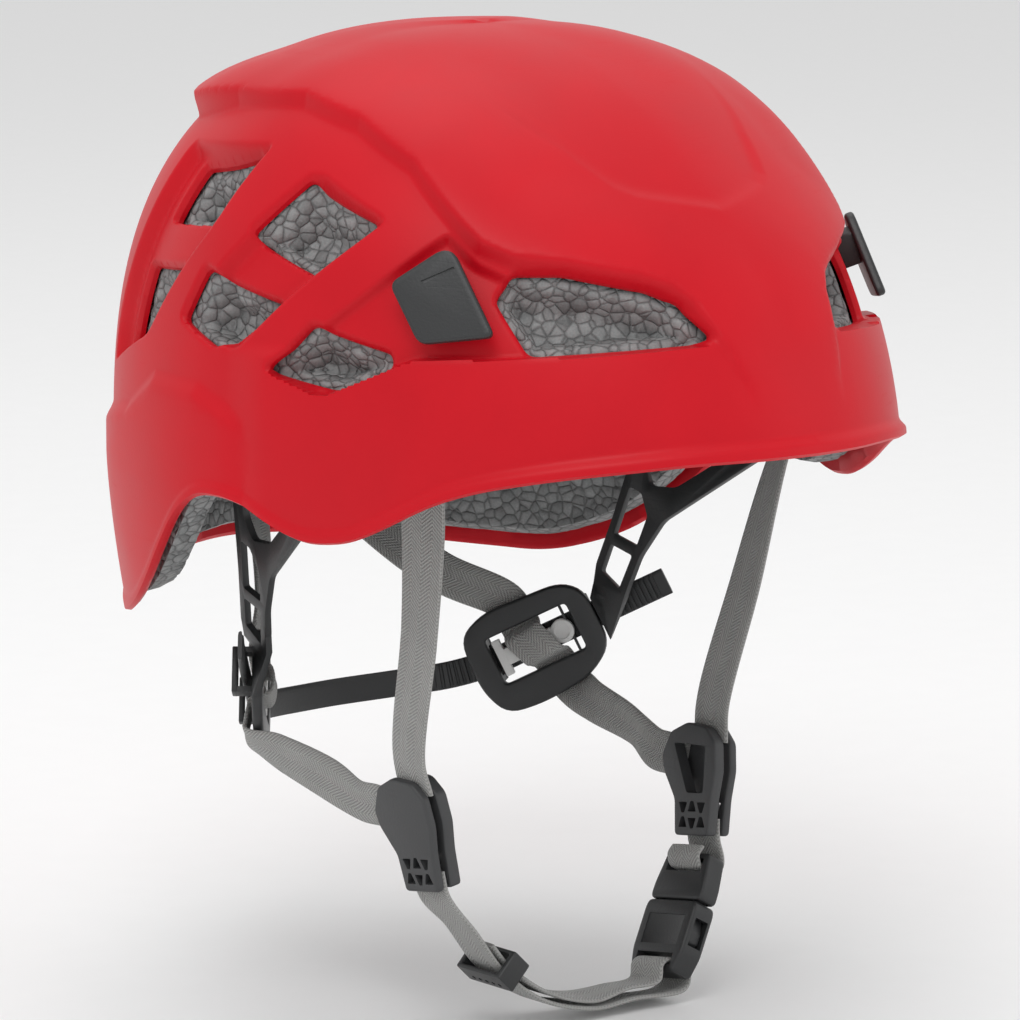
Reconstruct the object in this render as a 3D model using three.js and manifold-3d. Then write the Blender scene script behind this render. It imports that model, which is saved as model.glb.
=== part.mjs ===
// Climbing helmet: moulded shell, foam lining, headband, webbing and chin buckle.
// Millimetres, +Z up, the front of the helmet faces -Y and the wearer's left is +X.
// The origin is the middle of the head opening, level with the sides of the brim.
import * as THREE from 'three';
import { mergeVertices } from 'three/addons/utils/BufferGeometryUtils.js';
import Module from 'manifold-3d';

const wasm = await Module();
wasm.setup();

// ---------------------------------------------------------------- driving dimensions
const FRONT_LENGTH = 151;      // shell centre to the forehead
const REAR_LENGTH = 137;       // shell centre to the back
const HALF_WIDTH = 112;
const DOME_HEIGHT = 134;       // above the shell's widest level
const CENTRE_Y = 6.5;
const CENTRE_Z = 6;
const PLAN_POWER = 1.8;
const FRONT_POWER = 1.8;       // fullness of the dome's profile: front, side and rear
const SIDE_POWER = 2.85;
const REAR_POWER = 2.55;
const HOOD_RISE = 3.5;         // raised crown over the side panels
const BELT_RISE = 2.5;         // raised lower band
const SHELL_WALL = 3;
const GAP = 1.4;               // shell to foam
const CROWN_FOAM = 20;
const SIDE_FOAM = 12.5;
const EDGE_FOAM = 8;
const FOAM_SPLIT = 51;         // latitude where the crown foam meets the side foam
const ELASTIC_HOLE = 3.2;
const ELASTIC_RADIUS = 1.3;
const WEB_WIDTH = 15;
const WEB_THICK = 1.6;
const PLATE_THICK = 3;
const BUCKLE_WIDTH = 24;
const BUCKLE_THICK = 9;
const STUD_RADIUS = 2;
const KEEPER_WALL = 1.5;
const DEG = Math.PI / 180;

// lines drawn round the shell as [angle from the front, value] pairs, the same on both sides
const RIM_HEIGHT = [[0, 25], [15, 24], [30, 20], [42, 15], [50, 8], [56, 0], [63, -4], [70, -3],
  [78, 5], [86, 8], [92, 5], [98, -7], [104, -19], [110, -29], [118, -38], [130, -45], [145, -43],
  [162, -39], [180, -37]];
const HOOD_LINE = [[0, 13], [9, 14], [12, 23], [24, 29], [36, 32], [43, 35], [50, 42], [60, 49],
  [72, 54], [90, 56], [112, 55], [140, 50], [180, 47]];
const BELT_LINE = [[0, 12], [11, 20], [34, 22], [46, 24], [53, 19], [62, 15.5], [72, 14], [90, 17],
  [104, 17], [116, 11], [140, 6], [180, 4]];

// vent outlines as [angle from the front, latitude] corners
const VENTS = {
  upper_rear: [[107, 38], [104, 45.5], [84, 47.5], [88, 39]],
  lower_rear: [[122, 18], [114, 31], [98, 32], [107, 21.5]],
  upper_side: [[79, 37], [70, 44], [57, 39], [66, 33]],
  lower_side: [[92.5, 25], [88.5, 31.5], [73, 28.5], [84.5, 22]],
  temple: [[73, 19.5], [66, 25.5], [53, 22], [53, 20.5], [62, 17.7]],
  front: [[36, 31.5], [38, 29], [33, 21.8], [11.5, 20.8], [14, 25.5], [18, 28]],
};
const SIDES = { right: -1, left: 1 };

const RED = { color: 0xc81e2c, roughness: 0.38, metalness: 0 };
const FOAM = { color: 0x6d6f70, roughness: 0.9, metalness: 0 };
const BLACK = { color: 0x262727, roughness: 0.5, metalness: 0 };
const GREY = { color: 0x3c3d3e, roughness: 0.5, metalness: 0 };
const WEB = { color: 0x9b9b98, roughness: 0.85, metalness: 0 };
const WHITE = { color: 0xd4d4d2, roughness: 0.45, metalness: 0 };
const PAD = { color: 0x3a3d40, roughness: 0.95, metalness: 0 };
const STEEL = { color: 0xa7a9ab, roughness: 0.35, metalness: 0.9 };

// ---------------------------------------------------------------- small helpers
const vec = (x, y, z) => new THREE.Vector3(x, y, z);
const group = new THREE.Group();
group.name = 'climbing_helmet';

function along(line, at) {
  const a = Math.min(Math.max(at, line[0][0]), line[line.length - 1][0]);
  const k = Math.max(1, line.findIndex((p) => p[0] >= a));
  const [a0, v0] = line[k - 1];
  const [a1, v1] = line[k];
  const t = (a - a0) / (a1 - a0);
  return v0 + (v1 - v0) * t;
}

function smooth(t) {
  const c = Math.min(Math.max(t, 0), 1);
  return c * c * (3 - 2 * c);
}

function toSolid(geometry) {
  const bare = geometry.index ? geometry.toNonIndexed() : geometry.clone();
  for (const name of Object.keys(bare.attributes)) {
    if (name !== 'position') bare.deleteAttribute(name);
  }
  const merged = mergeVertices(bare, 1e-4);
  return new wasm.Manifold(new wasm.Mesh({
    numProp: 3,
    vertProperties: new Float32Array(merged.attributes.position.array),
    triVerts: new Uint32Array(merged.index.array),
  }));
}

function add(name, solid, finish) {
  const source = solid.getMesh();
  const geometry = new THREE.BufferGeometry();
  const count = source.vertProperties.length / source.numProp;
  const points = new Float32Array(count * 3);
  for (let i = 0; i < count; i++) {
    for (let k = 0; k < 3; k++) points[i * 3 + k] = source.vertProperties[i * source.numProp + k];
  }
  geometry.setAttribute('position', new THREE.BufferAttribute(points, 3));
  geometry.setIndex(new THREE.BufferAttribute(new Uint32Array(source.triVerts), 1));
  geometry.computeVertexNormals();
  const mesh = new THREE.Mesh(geometry, new THREE.MeshStandardMaterial(finish));
  mesh.name = name;
  group.add(mesh);
}

function fromRings(rings, closed) {
  // rings of points, each ring a closed section; the ends are capped unless the run closes on itself
  const points = rings.flat();
  const n = rings[0].length;
  const m = rings.length;
  const faces = [];
  for (let i = 0; i < (closed ? m : m - 1); i++) {
    for (let j = 0; j < n; j++) {
      const a = i * n + j;
      const b = i * n + (j + 1) % n;
      const c = ((i + 1) % m) * n + (j + 1) % n;
      const d = ((i + 1) % m) * n + j;
      faces.push(a, b, c, a, c, d);
    }
  }
  if (!closed) {
    for (let j = 1; j < n - 1; j++) {
      faces.push(0, j + 1, j);
      faces.push((m - 1) * n, (m - 1) * n + j, (m - 1) * n + j + 1);
    }
  }
  return closedSolid(points, faces);
}

function closedSolid(points, faces) {
  let volume = 0;
  for (let i = 0; i < faces.length; i += 3) {
    const [a, b, c] = [points[faces[i]], points[faces[i + 1]], points[faces[i + 2]]];
    volume += a.dot(b.clone().cross(c));
  }
  const turned = volume < 0;
  const flat = [];
  for (let i = 0; i < faces.length; i += 3) {
    const order = turned ? [0, 2, 1] : [0, 1, 2];
    for (const k of order) {
      const p = points[faces[i + k]];
      flat.push(p.x, p.y, p.z);
    }
  }
  const geometry = new THREE.BufferGeometry();
  geometry.setAttribute('position', new THREE.BufferAttribute(new Float32Array(flat), 3));
  return toSolid(geometry);
}

function frame(origin, u, v) {
  // a local frame: u and v in the piece's face, n its outward normal
  const eu = u.clone().normalize();
  const en = eu.clone().cross(v).normalize();
  const ev = en.clone().cross(eu);
  return new THREE.Matrix4().makeBasis(eu, ev, en).setPosition(origin);
}

function rounded(corners, radius) {
  const shape = new THREE.Shape();
  const n = corners.length;
  if (radius === 0) return shape.setFromPoints(corners.map((c) => new THREE.Vector2(...c)));
  for (let i = 0; i < n; i++) {
    const p = new THREE.Vector2(...corners[i]);
    const a = new THREE.Vector2(...corners[(i + n - 1) % n]);
    const b = new THREE.Vector2(...corners[(i + 1) % n]);
    const ra = Math.min(radius, p.distanceTo(a) * 0.45);
    const rb = Math.min(radius, p.distanceTo(b) * 0.45);
    const start = p.clone().lerp(a, ra / p.distanceTo(a));
    const end = p.clone().lerp(b, rb / p.distanceTo(b));
    if (i === 0) shape.moveTo(start.x, start.y);
    else shape.lineTo(start.x, start.y);
    shape.quadraticCurveTo(p.x, p.y, end.x, end.y);
  }
  shape.closePath();
  return shape;
}

function slab(place, corners, low, high, radius = 1, segments = 2) {
  const geometry = new THREE.ExtrudeGeometry(rounded(corners, radius), {
    depth: high - low, bevelEnabled: false, curveSegments: segments,
  });
  geometry.translate(0, 0, low);
  geometry.applyMatrix4(place);
  return toSolid(geometry);
}

function bar(place, u0, u1, v0, v1, n0, n1) {
  const geometry = new THREE.BoxGeometry(u1 - u0, v1 - v0, n1 - n0);
  geometry.translate((u0 + u1) / 2, (v0 + v1) / 2, (n0 + n1) / 2);
  geometry.applyMatrix4(place);
  return toSolid(geometry);
}

function rod(place, u, v, n0, n1, radius, sides = 16) {
  const geometry = new THREE.CylinderGeometry(radius, radius, n1 - n0, sides);
  geometry.rotateX(Math.PI / 2);
  geometry.translate(u, v, (n0 + n1) / 2);
  geometry.applyMatrix4(place);
  return toSolid(geometry);
}

function ribbon(stations, width, thick, steps) {
  // a flat strap through stations of [point, direction of its width]
  const path = new THREE.CatmullRomCurve3(stations.map((s) => s[0]), false, 'centripetal');
  const across = new THREE.CatmullRomCurve3(stations.map((s) => s[1]), false, 'centripetal');
  const rings = [];
  for (let i = 0; i <= steps; i++) {
    const t = i / steps;
    const p = path.getPoint(t);
    const forward = path.getTangent(t);
    const side = across.getPoint(t);
    side.addScaledVector(forward, -side.dot(forward)).normalize();
    const up = side.clone().cross(forward).normalize();
    const half = typeof thick === 'function' ? thick(t) : [thick / 2, thick / 2];
    const corner = (a, b) => p.clone().addScaledVector(side, a).addScaledVector(up, b);
    rings.push([
      corner(-width / 2, -half[0]), corner(width / 2, -half[0]),
      corner(width / 2, half[1]), corner(-width / 2, half[1]),
    ]);
  }
  return fromRings(rings, false);
}

// ---------------------------------------------------------------- the shell's surface
function planRadius(angle) {
  const s = Math.abs(Math.sin(angle)) / HALF_WIDTH;
  const c = Math.abs(Math.cos(angle)) / (Math.cos(angle) > 0 ? FRONT_LENGTH : REAR_LENGTH);
  return (s ** PLAN_POWER + c ** PLAN_POWER) ** (-1 / PLAN_POWER);
}

function skin(angleDeg, latitude, offset) {
  // a point at this angle from the front and this latitude, moved outward by offset
  const angle = angleDeg * DEG;
  const lat = latitude * DEG;
  const plan = planRadius(angle);
  const front = Math.max(Math.cos(angle), 0) ** 2;
  const rear = Math.max(-Math.cos(angle), 0) ** 2;
  const power = FRONT_POWER * front + REAR_POWER * rear + SIDE_POWER * (1 - front - rear);
  let reach;
  if (lat >= 0) {
    reach = ((Math.cos(lat) / plan) ** power + (Math.sin(lat) / DOME_HEIGHT) ** power) ** (-1 / power);
  } else {
    const drop = -plan * Math.tan(lat) / 60;
    reach = plan * (1 - 0.06 * drop ** 1.4) / Math.cos(lat);
  }
  reach += offset;
  return vec(
    reach * Math.cos(lat) * Math.sin(angle),
    CENTRE_Y - reach * Math.cos(lat) * Math.cos(angle),
    CENTRE_Z + reach * Math.sin(lat),
  );
}

const fold = (angleDeg) => Math.abs(((angleDeg + 540) % 360) - 180);

function rimLatitude(angleDeg, lift = 0) {
  const a = fold(angleDeg);
  return Math.atan2(along(RIM_HEIGHT, a) + lift - CENTRE_Z, planRadius(a * DEG)) / DEG;
}

function rise(angleDeg, latitude) {
  const a = fold(angleDeg);
  const hood = HOOD_RISE * smooth((latitude - along(HOOD_LINE, a)) / 2);
  const belt = BELT_RISE * smooth((along(BELT_LINE, a) - latitude) / 2);
  return Math.max(hood, belt);
}

function dome(outer, inner, low, around, up) {
  // a closed bowl from the line low up to the crown
  const points = [];
  const faces = [];
  for (const offset of [outer, inner]) {
    for (let j = 0; j < up; j++) {
      for (let i = 0; i < around; i++) {
        const angle = 360 * i / around;
        const start = low(angle);
        const lat = start + (90 - start) * j / up;
        points.push(skin(angle, lat, offset(angle, lat)));
      }
    }
    points.push(skin(0, 90, offset(0, 90)));
  }
  const layer = around * up + 1;
  for (let side = 0; side < 2; side++) {
    const base = side * layer;
    for (let i = 0; i < around; i++) {
      const k = (i + 1) % around;
      for (let j = 0; j < up; j++) {
        const a = base + j * around + i;
        const b = base + j * around + k;
        if (j === up - 1) {
          faces.push(...(side ? [a, base + layer - 1, b] : [a, b, base + layer - 1]));
          continue;
        }
        const c = b + around;
        const d = a + around;
        faces.push(...(side ? [a, c, b, a, d, c] : [a, b, c, a, c, d]));
      }
    }
  }
  for (let i = 0; i < around; i++) {
    const k = (i + 1) % around;
    faces.push(i, layer + i, layer + k, i, layer + k, k);
  }
  return closedSolid(points, faces);
}

function patch(outer, inner, low, high, from, to, around, up) {
  // a closed slab of the surface between two angles and two latitudes; a full turn closes on itself
  const whole = to - from >= 360;
  const rings = [];
  for (let i = 0; i < around + (whole ? 0 : 1); i++) {
    const angle = from + (to - from) * i / around;
    const ring = [];
    for (let j = 0; j <= up; j++) {
      const lat = low(angle) + (high(angle) - low(angle)) * j / up;
      ring.push(skin(angle, lat, outer(angle, lat)));
    }
    for (let j = up; j >= 0; j--) {
      const lat = low(angle) + (high(angle) - low(angle)) * j / up;
      ring.push(skin(angle, lat, inner(angle, lat)));
    }
    rings.push(ring);
  }
  return fromRings(rings, whole);
}

function ventCutter(corners, side, near, far, scale) {
  // a tapered plug through a vent, pointing at the shell's centre
  const points = corners.map(([a, lat]) => [side * a, lat]);
  const middle = points.reduce((m, p) => [m[0] + p[0] / points.length, m[1] + p[1] / points.length], [0, 0]);
  const rings = [near, far].map((offset) => points.map(([a, lat]) => skin(
    middle[0] + (a - middle[0]) * scale, middle[1] + (lat - middle[1]) * scale, offset,
  )));
  return fromRings(rings, false);
}

// ---------------------------------------------------------------- shell and foam
function cutVents(solid, near, far, scale) {
  let cut = solid;
  for (const side of Object.values(SIDES)) {
    for (const corners of Object.values(VENTS)) {
      cut = cut.subtract(ventCutter(corners, side, near, far, scale));
    }
  }
  return cut;
}

function shellBowl(high, low) {
  // the shell's own facets, from this far above its surface down to this far below it
  return dome((a, lat) => rise(a, lat) + high, (a, lat) => rise(a, lat) - low, (a) => rimLatitude(a), 64, 12);
}

function buildShell() {
  let shell = shellBowl(0, SHELL_WALL);
  shell = cutVents(shell, -20, 20, 1);
  // two holes at the back take the ends of the lamp elastic
  for (const side of [-1, 1]) {
    const spot = frame(skin(180 + side * 11, 41, 0), vec(1, 0, 0), vec(0, 0, 1));
    shell = shell.subtract(rod(spot, 0, 0, -20, 20, ELASTIC_HOLE, 10));
  }
  add('outer_shell', shell, RED);
}

const shellInside = () => -SHELL_WALL - GAP;
const crownFoamInside = () => -SHELL_WALL - GAP - CROWN_FOAM;
function sideFoamInside(a, lat) {
  const above = smooth((lat - rimLatitude(a)) / 16);
  const depth = EDGE_FOAM + (SIDE_FOAM - EDGE_FOAM) * above;
  const crown = smooth((lat - 36) / 14);
  return -SHELL_WALL - GAP - depth - (CROWN_FOAM - SIDE_FOAM) * crown;
}

function buildFoam() {
  const crown = dome(shellInside, crownFoamInside, () => FOAM_SPLIT, 32, 4);
  add('crown_liner', crown, FOAM);
  const lower = (a) => rimLatitude(a, 3.5);
  const upper = () => FOAM_SPLIT - 0.4;
  let side = patch(shellInside, sideFoamInside, lower, upper, 0, 360, 48, 6);
  side = cutVents(side, -40, 20, 0.55);
  for (const stud of studPlaces()) {
    side = side.subtract(studRod(stud, -14, 1, STUD_RADIUS + 0.8, 10));
    side = side.subtract(studRod(stud, -1.9, 4, 8, 12));
  }
  add('rim_liner', side, FOAM);
}

function buildPads() {
  const inside = (depth) => (a, lat) => sideFoamInside(a, lat) - depth;
  const forehead = patch(inside(1.6), inside(6), () => 8, () => 16, -42, 42, 14, 2);
  add('forehead_pad', forehead, PAD);
  const crown = (depth) => () => crownFoamInside() - depth;
  add('crown_pad_front', patch(crown(1), crown(6), () => 58, () => 74, -25, 25, 6, 2), PAD);
  add('crown_pad_rear', patch(crown(1.6), crown(6), () => 58, () => 74, 155, 205, 6, 2), PAD);
}

// ---------------------------------------------------------------- lamp hooks and rear elastic
const HOOK_LIFT = 2.8;

function buildHooks() {
  const outline = [[-16.5, 3.5], [-2, 14.5], [2, 14], [17, -10.5], [-5.5, -14]];
  const clearance = shellBowl(0.35, 16);
  for (const [name, side] of Object.entries(SIDES)) {
    const corner = (a, lat, off) => skin(side * a, lat, off);
    const origin = corner(45.5, 28.7, HOOK_LIFT);
    const forward = corner(37, 28, 0).sub(corner(54, 29.5, 0)).normalize();
    const upward = corner(45, 34, 0).sub(corner(46, 24, 0)).normalize();
    const place = frame(origin, forward, upward);
    const out = side < 0 ? 1 : -1;
    const level = (n0, n1) => (out > 0 ? [n0, n1] : [-n1, -n0]);
    const plate = slab(place, outline, ...level(0, 3), 3, 3);
    // the foot ends inside the plate, so that no two of their faces lie in one plane
    const foot = slab(place, [[-9, 3], [-2, 10.5], [4, 9], [2, -2]], ...level(-12, 1.2), 1.5);
    add(`lamp_hook_${name}`, plate.add(foot).subtract(clearance), BLACK);
  }
}

function elasticCord(radius) {
  const at = (a, lat, off) => skin(180 + a, lat, off);
  const half = [at(-11, 41, -2.4), at(-11, 41, 3.6), at(-11, 37, 3.6), at(-10, 32, 3.2), at(-6, 27, 3.2)];
  const other = [at(6, 27, 3.2), at(10, 32, 3.2), at(11, 37, 3.6), at(11, 41, 3.6), at(11, 41, -2.4)];
  const path = new THREE.CatmullRomCurve3([...half, at(0, 25.5, 3.2), ...other], false, 'centripetal');
  const section = new THREE.Shape().absarc(0, 0, radius, 0, Math.PI * 2);
  return toSolid(new THREE.ExtrudeGeometry(section, { steps: 36, extrudePath: path, curveSegments: 4 }));
}

function buildElastic() {
  add('lamp_elastic', elasticCord(ELASTIC_RADIUS), BLACK);
  const place = frame(skin(180, 24.6, 3.1), vec(-1, 0, 0), skin(180, 30, 0).sub(skin(180, 20, 0)));
  const body = slab(place, [[-8, -7], [8, -7], [9, 4], [-9, 4]], -1.7, 5, 2, 2);
  add('lamp_elastic_hook', body.subtract(elasticCord(ELASTIC_RADIUS + 0.4)), BLACK);
}

// ---------------------------------------------------------------- headband
const PLATE_CENTRE = vec(57, 49, -67);
const PLATE_ALONG = vec(0.58, -0.68, 0.45);
const PLATE_OUT = vec(0.761, 0.649, 0);
const CREASE = 22;              // plate centre to the living hinge
const FOLD_Y = 34;              // the living hinges' common axis
const FOLD_Z = -57;
const FOLD_RANGE = 20;

function mirrored(solid, side) {
  return side > 0 ? solid : solid.mirror([1, 0, 0]);
}

function plateFrame() {
  const up = PLATE_ALONG.clone().cross(PLATE_OUT);
  return frame(PLATE_CENTRE, PLATE_ALONG, up.negate());
}

function armFrame() {
  // w runs forward, t runs up the arm, n points inward
  const origin = PLATE_CENTRE.clone().addScaledVector(PLATE_ALONG.clone().normalize(), CREASE + 0.3);
  return frame(origin, vec(0.102, -0.946, -0.272), vec(0.224, -0.247, 0.942));
}

function studPlaces() {
  const places = [];
  for (const [name, side] of Object.entries(SIDES)) {
    for (const [end, w, t] of [['front', 41, 79], ['rear', -6, 72]]) places.push({ name, end, side, w, t });
  }
  return places;
}

function studRod(stud, n0, n1, radius, sides) {
  return mirrored(rod(armFrame(), stud.w, stud.t, n0, n1, radius, sides), stud.side);
}

function buildNeck() {
  // the twisted foot of the arm, from the living hinge to the lattice
  const plate = plateFrame();
  const arm = armFrame();
  const onPlate = (v, n) => vec(CREASE + 0.3, v, n).applyMatrix4(plate);
  const onArm = (w, t, n) => vec(w, t, n).applyMatrix4(arm);
  return fromRings([
    [onPlate(-4, 1), onPlate(9, 1), onPlate(9, -1), onPlate(-4, -1)],
    [onArm(-4, 9, -1.1), onArm(8.2, 9, -1.1), onArm(8.2, 9, 1.1), onArm(-4, 9, 1.1)],
    [onArm(-6, 15, -1.1), onArm(7.5, 15, -1.1), onArm(7.5, 15, 1.1), onArm(-6, 15, 1.1)],
  ], false);
}

function bandSweep() {
  // the room that each free end of the band needs as the headband folds up
  const toAxis = new THREE.Matrix4().makeTranslation(0, -FOLD_Y, -FOLD_Z);
  const back = new THREE.Matrix4().makeTranslation(0, FOLD_Y, FOLD_Z);
  const room = [];
  for (let turn = 0; turn <= FOLD_RANGE + 2; turn += 4) {
    const swing = back.clone().multiply(new THREE.Matrix4().makeRotationX(turn * DEG)).multiply(toAxis);
    room.push(bar(swing.multiply(plateFrame()), 20, 52, -5.6, 5.6, 2.3, 8));
  }
  return room;
}

function buildArms() {
  const place = armFrame();
  const outline = [[-6, 14], [-6, 17], [-6.5, 32], [-10, 76], [-2.5, 77], [-0.5, 52], [5, 47], [36, 83],
    [44, 84], [45, 77], [12, 38], [7, 24], [7.5, 14]];
  const windows = [
    [[-2.2, 13.5], [-2.2, 23], [3.6, 23], [3.6, 12]],
    [[-2, 27], [-2.6, 42], [1.8, 40], [4, 27]],
  ];
  let arm = slab(place, outline, -1.1, 1.1, 2).add(buildNeck());
  for (const hole of windows) arm = arm.subtract(slab(place, hole, -4, 4, 1));
  for (const room of bandSweep()) arm = arm.subtract(room);
  for (const [name, side] of Object.entries(SIDES)) {
    let piece = mirrored(arm, side);
    for (const stud of studPlaces().filter((s) => s.side === side)) {
      piece = piece.subtract(studRod(stud, -8, 8, STUD_RADIUS + 0.4, 10));
    }
    add(`arm_${name}`, piece, BLACK);
  }
  for (const stud of studPlaces()) {
    const solid = studRod(stud, 1.5, 4, 2 * STUD_RADIUS, 12).add(studRod(stud, -11, 2, STUD_RADIUS, 10));
    add(`arm_stud_${stud.end}_${stud.name}`, solid, BLACK);
  }
}

function buildPlates() {
  const place = plateFrame();
  const half = PLATE_THICK / 2;
  const outline = [[-21.5, 6], [-17, 14.5], [-6, 16], [12, 15], [21.5, 9.5], [21.5, -5.5], [14, -11],
    [-14, -13.5], [-21, -10]];
  let plate = slab(place, outline, -half, half, 6, 3);
  plate = plate.subtract(slab(place, [[-16, -8], [14, -8], [14, 8.2], [-16, 8.2]], -5, 5, 1.5));
  // two bridges on the outer face hold the band; they stand on the rim either side of it
  for (const [u0, u1] of [[-20, -16.2], [14.2, 20]]) {
    const top = bar(place, u0, u1, -7.4, 7.4, 6.2, 8);
    const foot = (v) => bar(place, u0, u1, v - 1, v + 1, half - 0.2, 6.4);
    const feet = foot(-6.4).add(foot(6.4));
    plate = plate.add(top).add(feet);
  }
  const tee = [[-14.4, -6.5], [-11.6, -6.5], [-11.6, -2.8], [6, -2.8], [6, 2.8], [-11.6, 2.8],
    [-11.6, 6], [-14.4, 6]];
  const lock = slab(place, tee, -1.2, 1, 0.4).add(rod(place, 9, 0, -1.2, 1, 4, 18));
  for (const [name, side] of Object.entries(SIDES)) {
    add(`plate_${name}`, mirrored(plate, side), BLACK);
    add(`lock_${name}`, mirrored(lock, side), WHITE);
  }
}

const mirrorX = (p) => vec(-p.x, p.y, p.z);

function buildBand() {
  // it lies over the outside of both plates and round the nape, with teeth on its inner face
  const out = 4;
  const tall = plateFrame();
  const bandPoint = (u, n) => vec(u, 0, n).applyMatrix4(tall);
  const lean = vec(0, 1, 0).transformDirection(tall);
  const upright = vec(0, 0, -1);
  const half = [
    [bandPoint(47, 3.6), lean], [bandPoint(34, out), lean], [bandPoint(20, out), lean],
    [bandPoint(0, out), lean],
    [bandPoint(-18, out), lean], [vec(40, 73.5, -79.5), upright.clone().lerp(lean, 0.4)],
    [vec(22, 81.5, -81.5), upright], [vec(0, 84.5, -82), upright],
  ];
  const otherHalf = half.slice(0, -1).reverse().map(([p, w]) => [mirrorX(p), mirrorX(w)]);
  const toothed = (t) => {
    const fromEnd = Math.min(t, 1 - t);
    const tooth = fromEnd > 0.1 && fromEnd < 0.38 && Math.round(t * 96) % 2 === 0;
    return tooth ? [0.9, 0.9] : [0.9, 0.3];
  };
  add('nape_band', ribbon([...half, ...otherHalf], 9, toothed, 96), BLACK);
}

// ---------------------------------------------------------------- webbing
const DIVIDER_CENTRE = vec(58, -32, -100);
const DIVIDER_UP = vec(0.155, 0.147, 0.977);
const DIVIDER_REAR = vec(0, 0.989, -0.149);

function dividerFrame() {
  return frame(DIVIDER_CENTRE, DIVIDER_REAR, DIVIDER_UP);
}

function onDivider(a, b, n) {
  return vec(a, b, n).applyMatrix4(dividerFrame());
}

function buildStraps() {
  const back = vec(0, 1, 0);
  const rearward = DIVIDER_REAR;
  const upDivider = DIVIDER_UP.clone().addScaledVector(DIVIDER_REAR, -0.25);
  const frontRoute = [
    [vec(77.5, -54.5, 33), vec(0.6, 0.8, 0)], [vec(76, -53.5, 20), vec(0.55, 0.83, 0)],
    [vec(71, -50, 2), vec(0.35, 0.93, 0)], [vec(66, -42, -35), vec(0.1, 1, 0)],
    [onDivider(-3, 24, 0), back], [onDivider(-3, 12, 0), rearward],
  ];
  const plate = plateFrame();
  const inPlate = (u, v, n) => vec(u, v, n).applyMatrix4(plate);
  const acrossPlate = vec(1, -0.06, 0).transformDirection(plate);
  const rearRoute = [
    [vec(11, 120.5, 18), vec(1, 0, 0)], [vec(11.5, 120, 4), vec(1, 0, 0)],
    [vec(14, 112, -12), vec(0.95, -0.2, 0.2)],
    [vec(24, 93, -30), vec(0.8, -0.3, 0.5)], [vec(37, 75, -45), vec(0.7, -0.5, 0.5)],
    [inPlate(-4.6, -16.5, 3), acrossPlate], [inPlate(-4, -10, 3.5), acrossPlate],
    [inPlate(-3.6, -6.6, 2.7), acrossPlate], [inPlate(-3.2, -5.6, 0), acrossPlate],
    [inPlate(-2.8, -4.6, -2.9), acrossPlate], [inPlate(-1, 0, -3.9), acrossPlate],
    [inPlate(0.4, 4, -2.9), acrossPlate], [inPlate(0.8, 5.5, 0), acrossPlate],
    [inPlate(1.2, 6.7, 2.7), acrossPlate], [inPlate(1.8, 9.6, 3.5), acrossPlate],
    [inPlate(3, 17, 3.8), acrossPlate],
    [vec(64, 29.5, -84.5), vec(0.2, -0.24, 0.95)], [vec(62.5, 8, -89), vec(-0.05, 0.15, 1)],
    [onDivider(25, 10, 0.6), upDivider], [onDivider(17, 8.5, 0), upDivider],
    [onDivider(9, 6.5, 0), upDivider],
  ];
  for (const [name, side] of Object.entries(SIDES)) {
    add(`front_strap_${name}`, mirrored(ribbon(frontRoute, WEB_WIDTH, WEB_THICK, 24), side), WEB);
    add(`rear_strap_${name}`, mirrored(ribbon(rearRoute, WEB_WIDTH - 1.5, WEB_THICK, 52), side), WEB);
  }
}

function buildAnchors() {
  for (const [name, side] of Object.entries(SIDES)) {
    const front = frame(vec(77.1, -54.2, 28), vec(0.58, 0.81, 0), vec(0.1, 0, 1));
    const disc = rod(front, 0, 0, -4, -1.4, 4.5, 14);
    add(`strap_anchor_front_${name}`, mirrored(disc, side), STEEL);
    const rear = frame(vec(11, 120.2, 12), vec(1, 0, 0), vec(0, 0, 1));
    const plate = slab(rear, [[-8, -4], [8, -4], [8, 4], [-8, 4]], 1.05, 3.05, 1.5);
    add(`strap_anchor_rear_${name}`, mirrored(plate, side), STEEL);
  }
}

function buildDividers() {
  const place = dividerFrame();
  const outline = [[-10.5, 12], [-6, 17], [3, 18.5], [11, 15.5], [15, 8], [14, 3], [8.5, -6],
    [8, -17.5], [-8, -17.5], [-9, -6], [-11, 3]];
  const holes = [];
  for (const row of [0, 1]) {
    for (const k of [-1, 0, 1]) {
      const up = (k + row) % 2 === 0 ? 1 : -1;
      holes.push([k * 4.3 - 0.3, -8.4 - row * 5, up]);
    }
  }
  const drill = (solid) => holes.reduce((s, [a, b, up]) => s.subtract(slab(
    place, [[a - 1.7, b - 1.3 * up], [a + 1.7, b - 1.3 * up], [a, b + 1.8 * up]], -12, 12, 0,
  )), solid);
  // the base faces the cheek and carries the walls; the webbing lies between it and the cover
  let base = slab(place, outline, -5.4, -1.2, 1.5);
  base = base.subtract(slab(place, [[-6.2, 11], [9, 12], [2.4, -4], [-5.4, -4]], -9, 0, 1));
  base = drill(base);
  let cover = slab(place, outline, 1.2, 4.2, 1.5);
  cover = drill(cover);
  for (const [name, side] of Object.entries(SIDES)) {
    add(`divider_base_${name}`, mirrored(base, side), GREY);
    add(`divider_cover_${name}`, mirrored(cover, side), GREY);
  }
}

// ---------------------------------------------------------------- buckle and chin strap
const BUCKLE_CENTRE = vec(43.3, -37.7, -137.6);   // the mouth of the socket
const BUCKLE_UP = vec(0.5, 0.13, 0.86);
const SQUEEZE_ROOT = 3.4;                       // prong pivots above the mouth

function buckleFrame() {
  // u across the buckle towards the back, v up the strap, n out from the cheek
  return frame(BUCKLE_CENTRE, vec(0, 1, -0.15), BUCKLE_UP);
}

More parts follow.
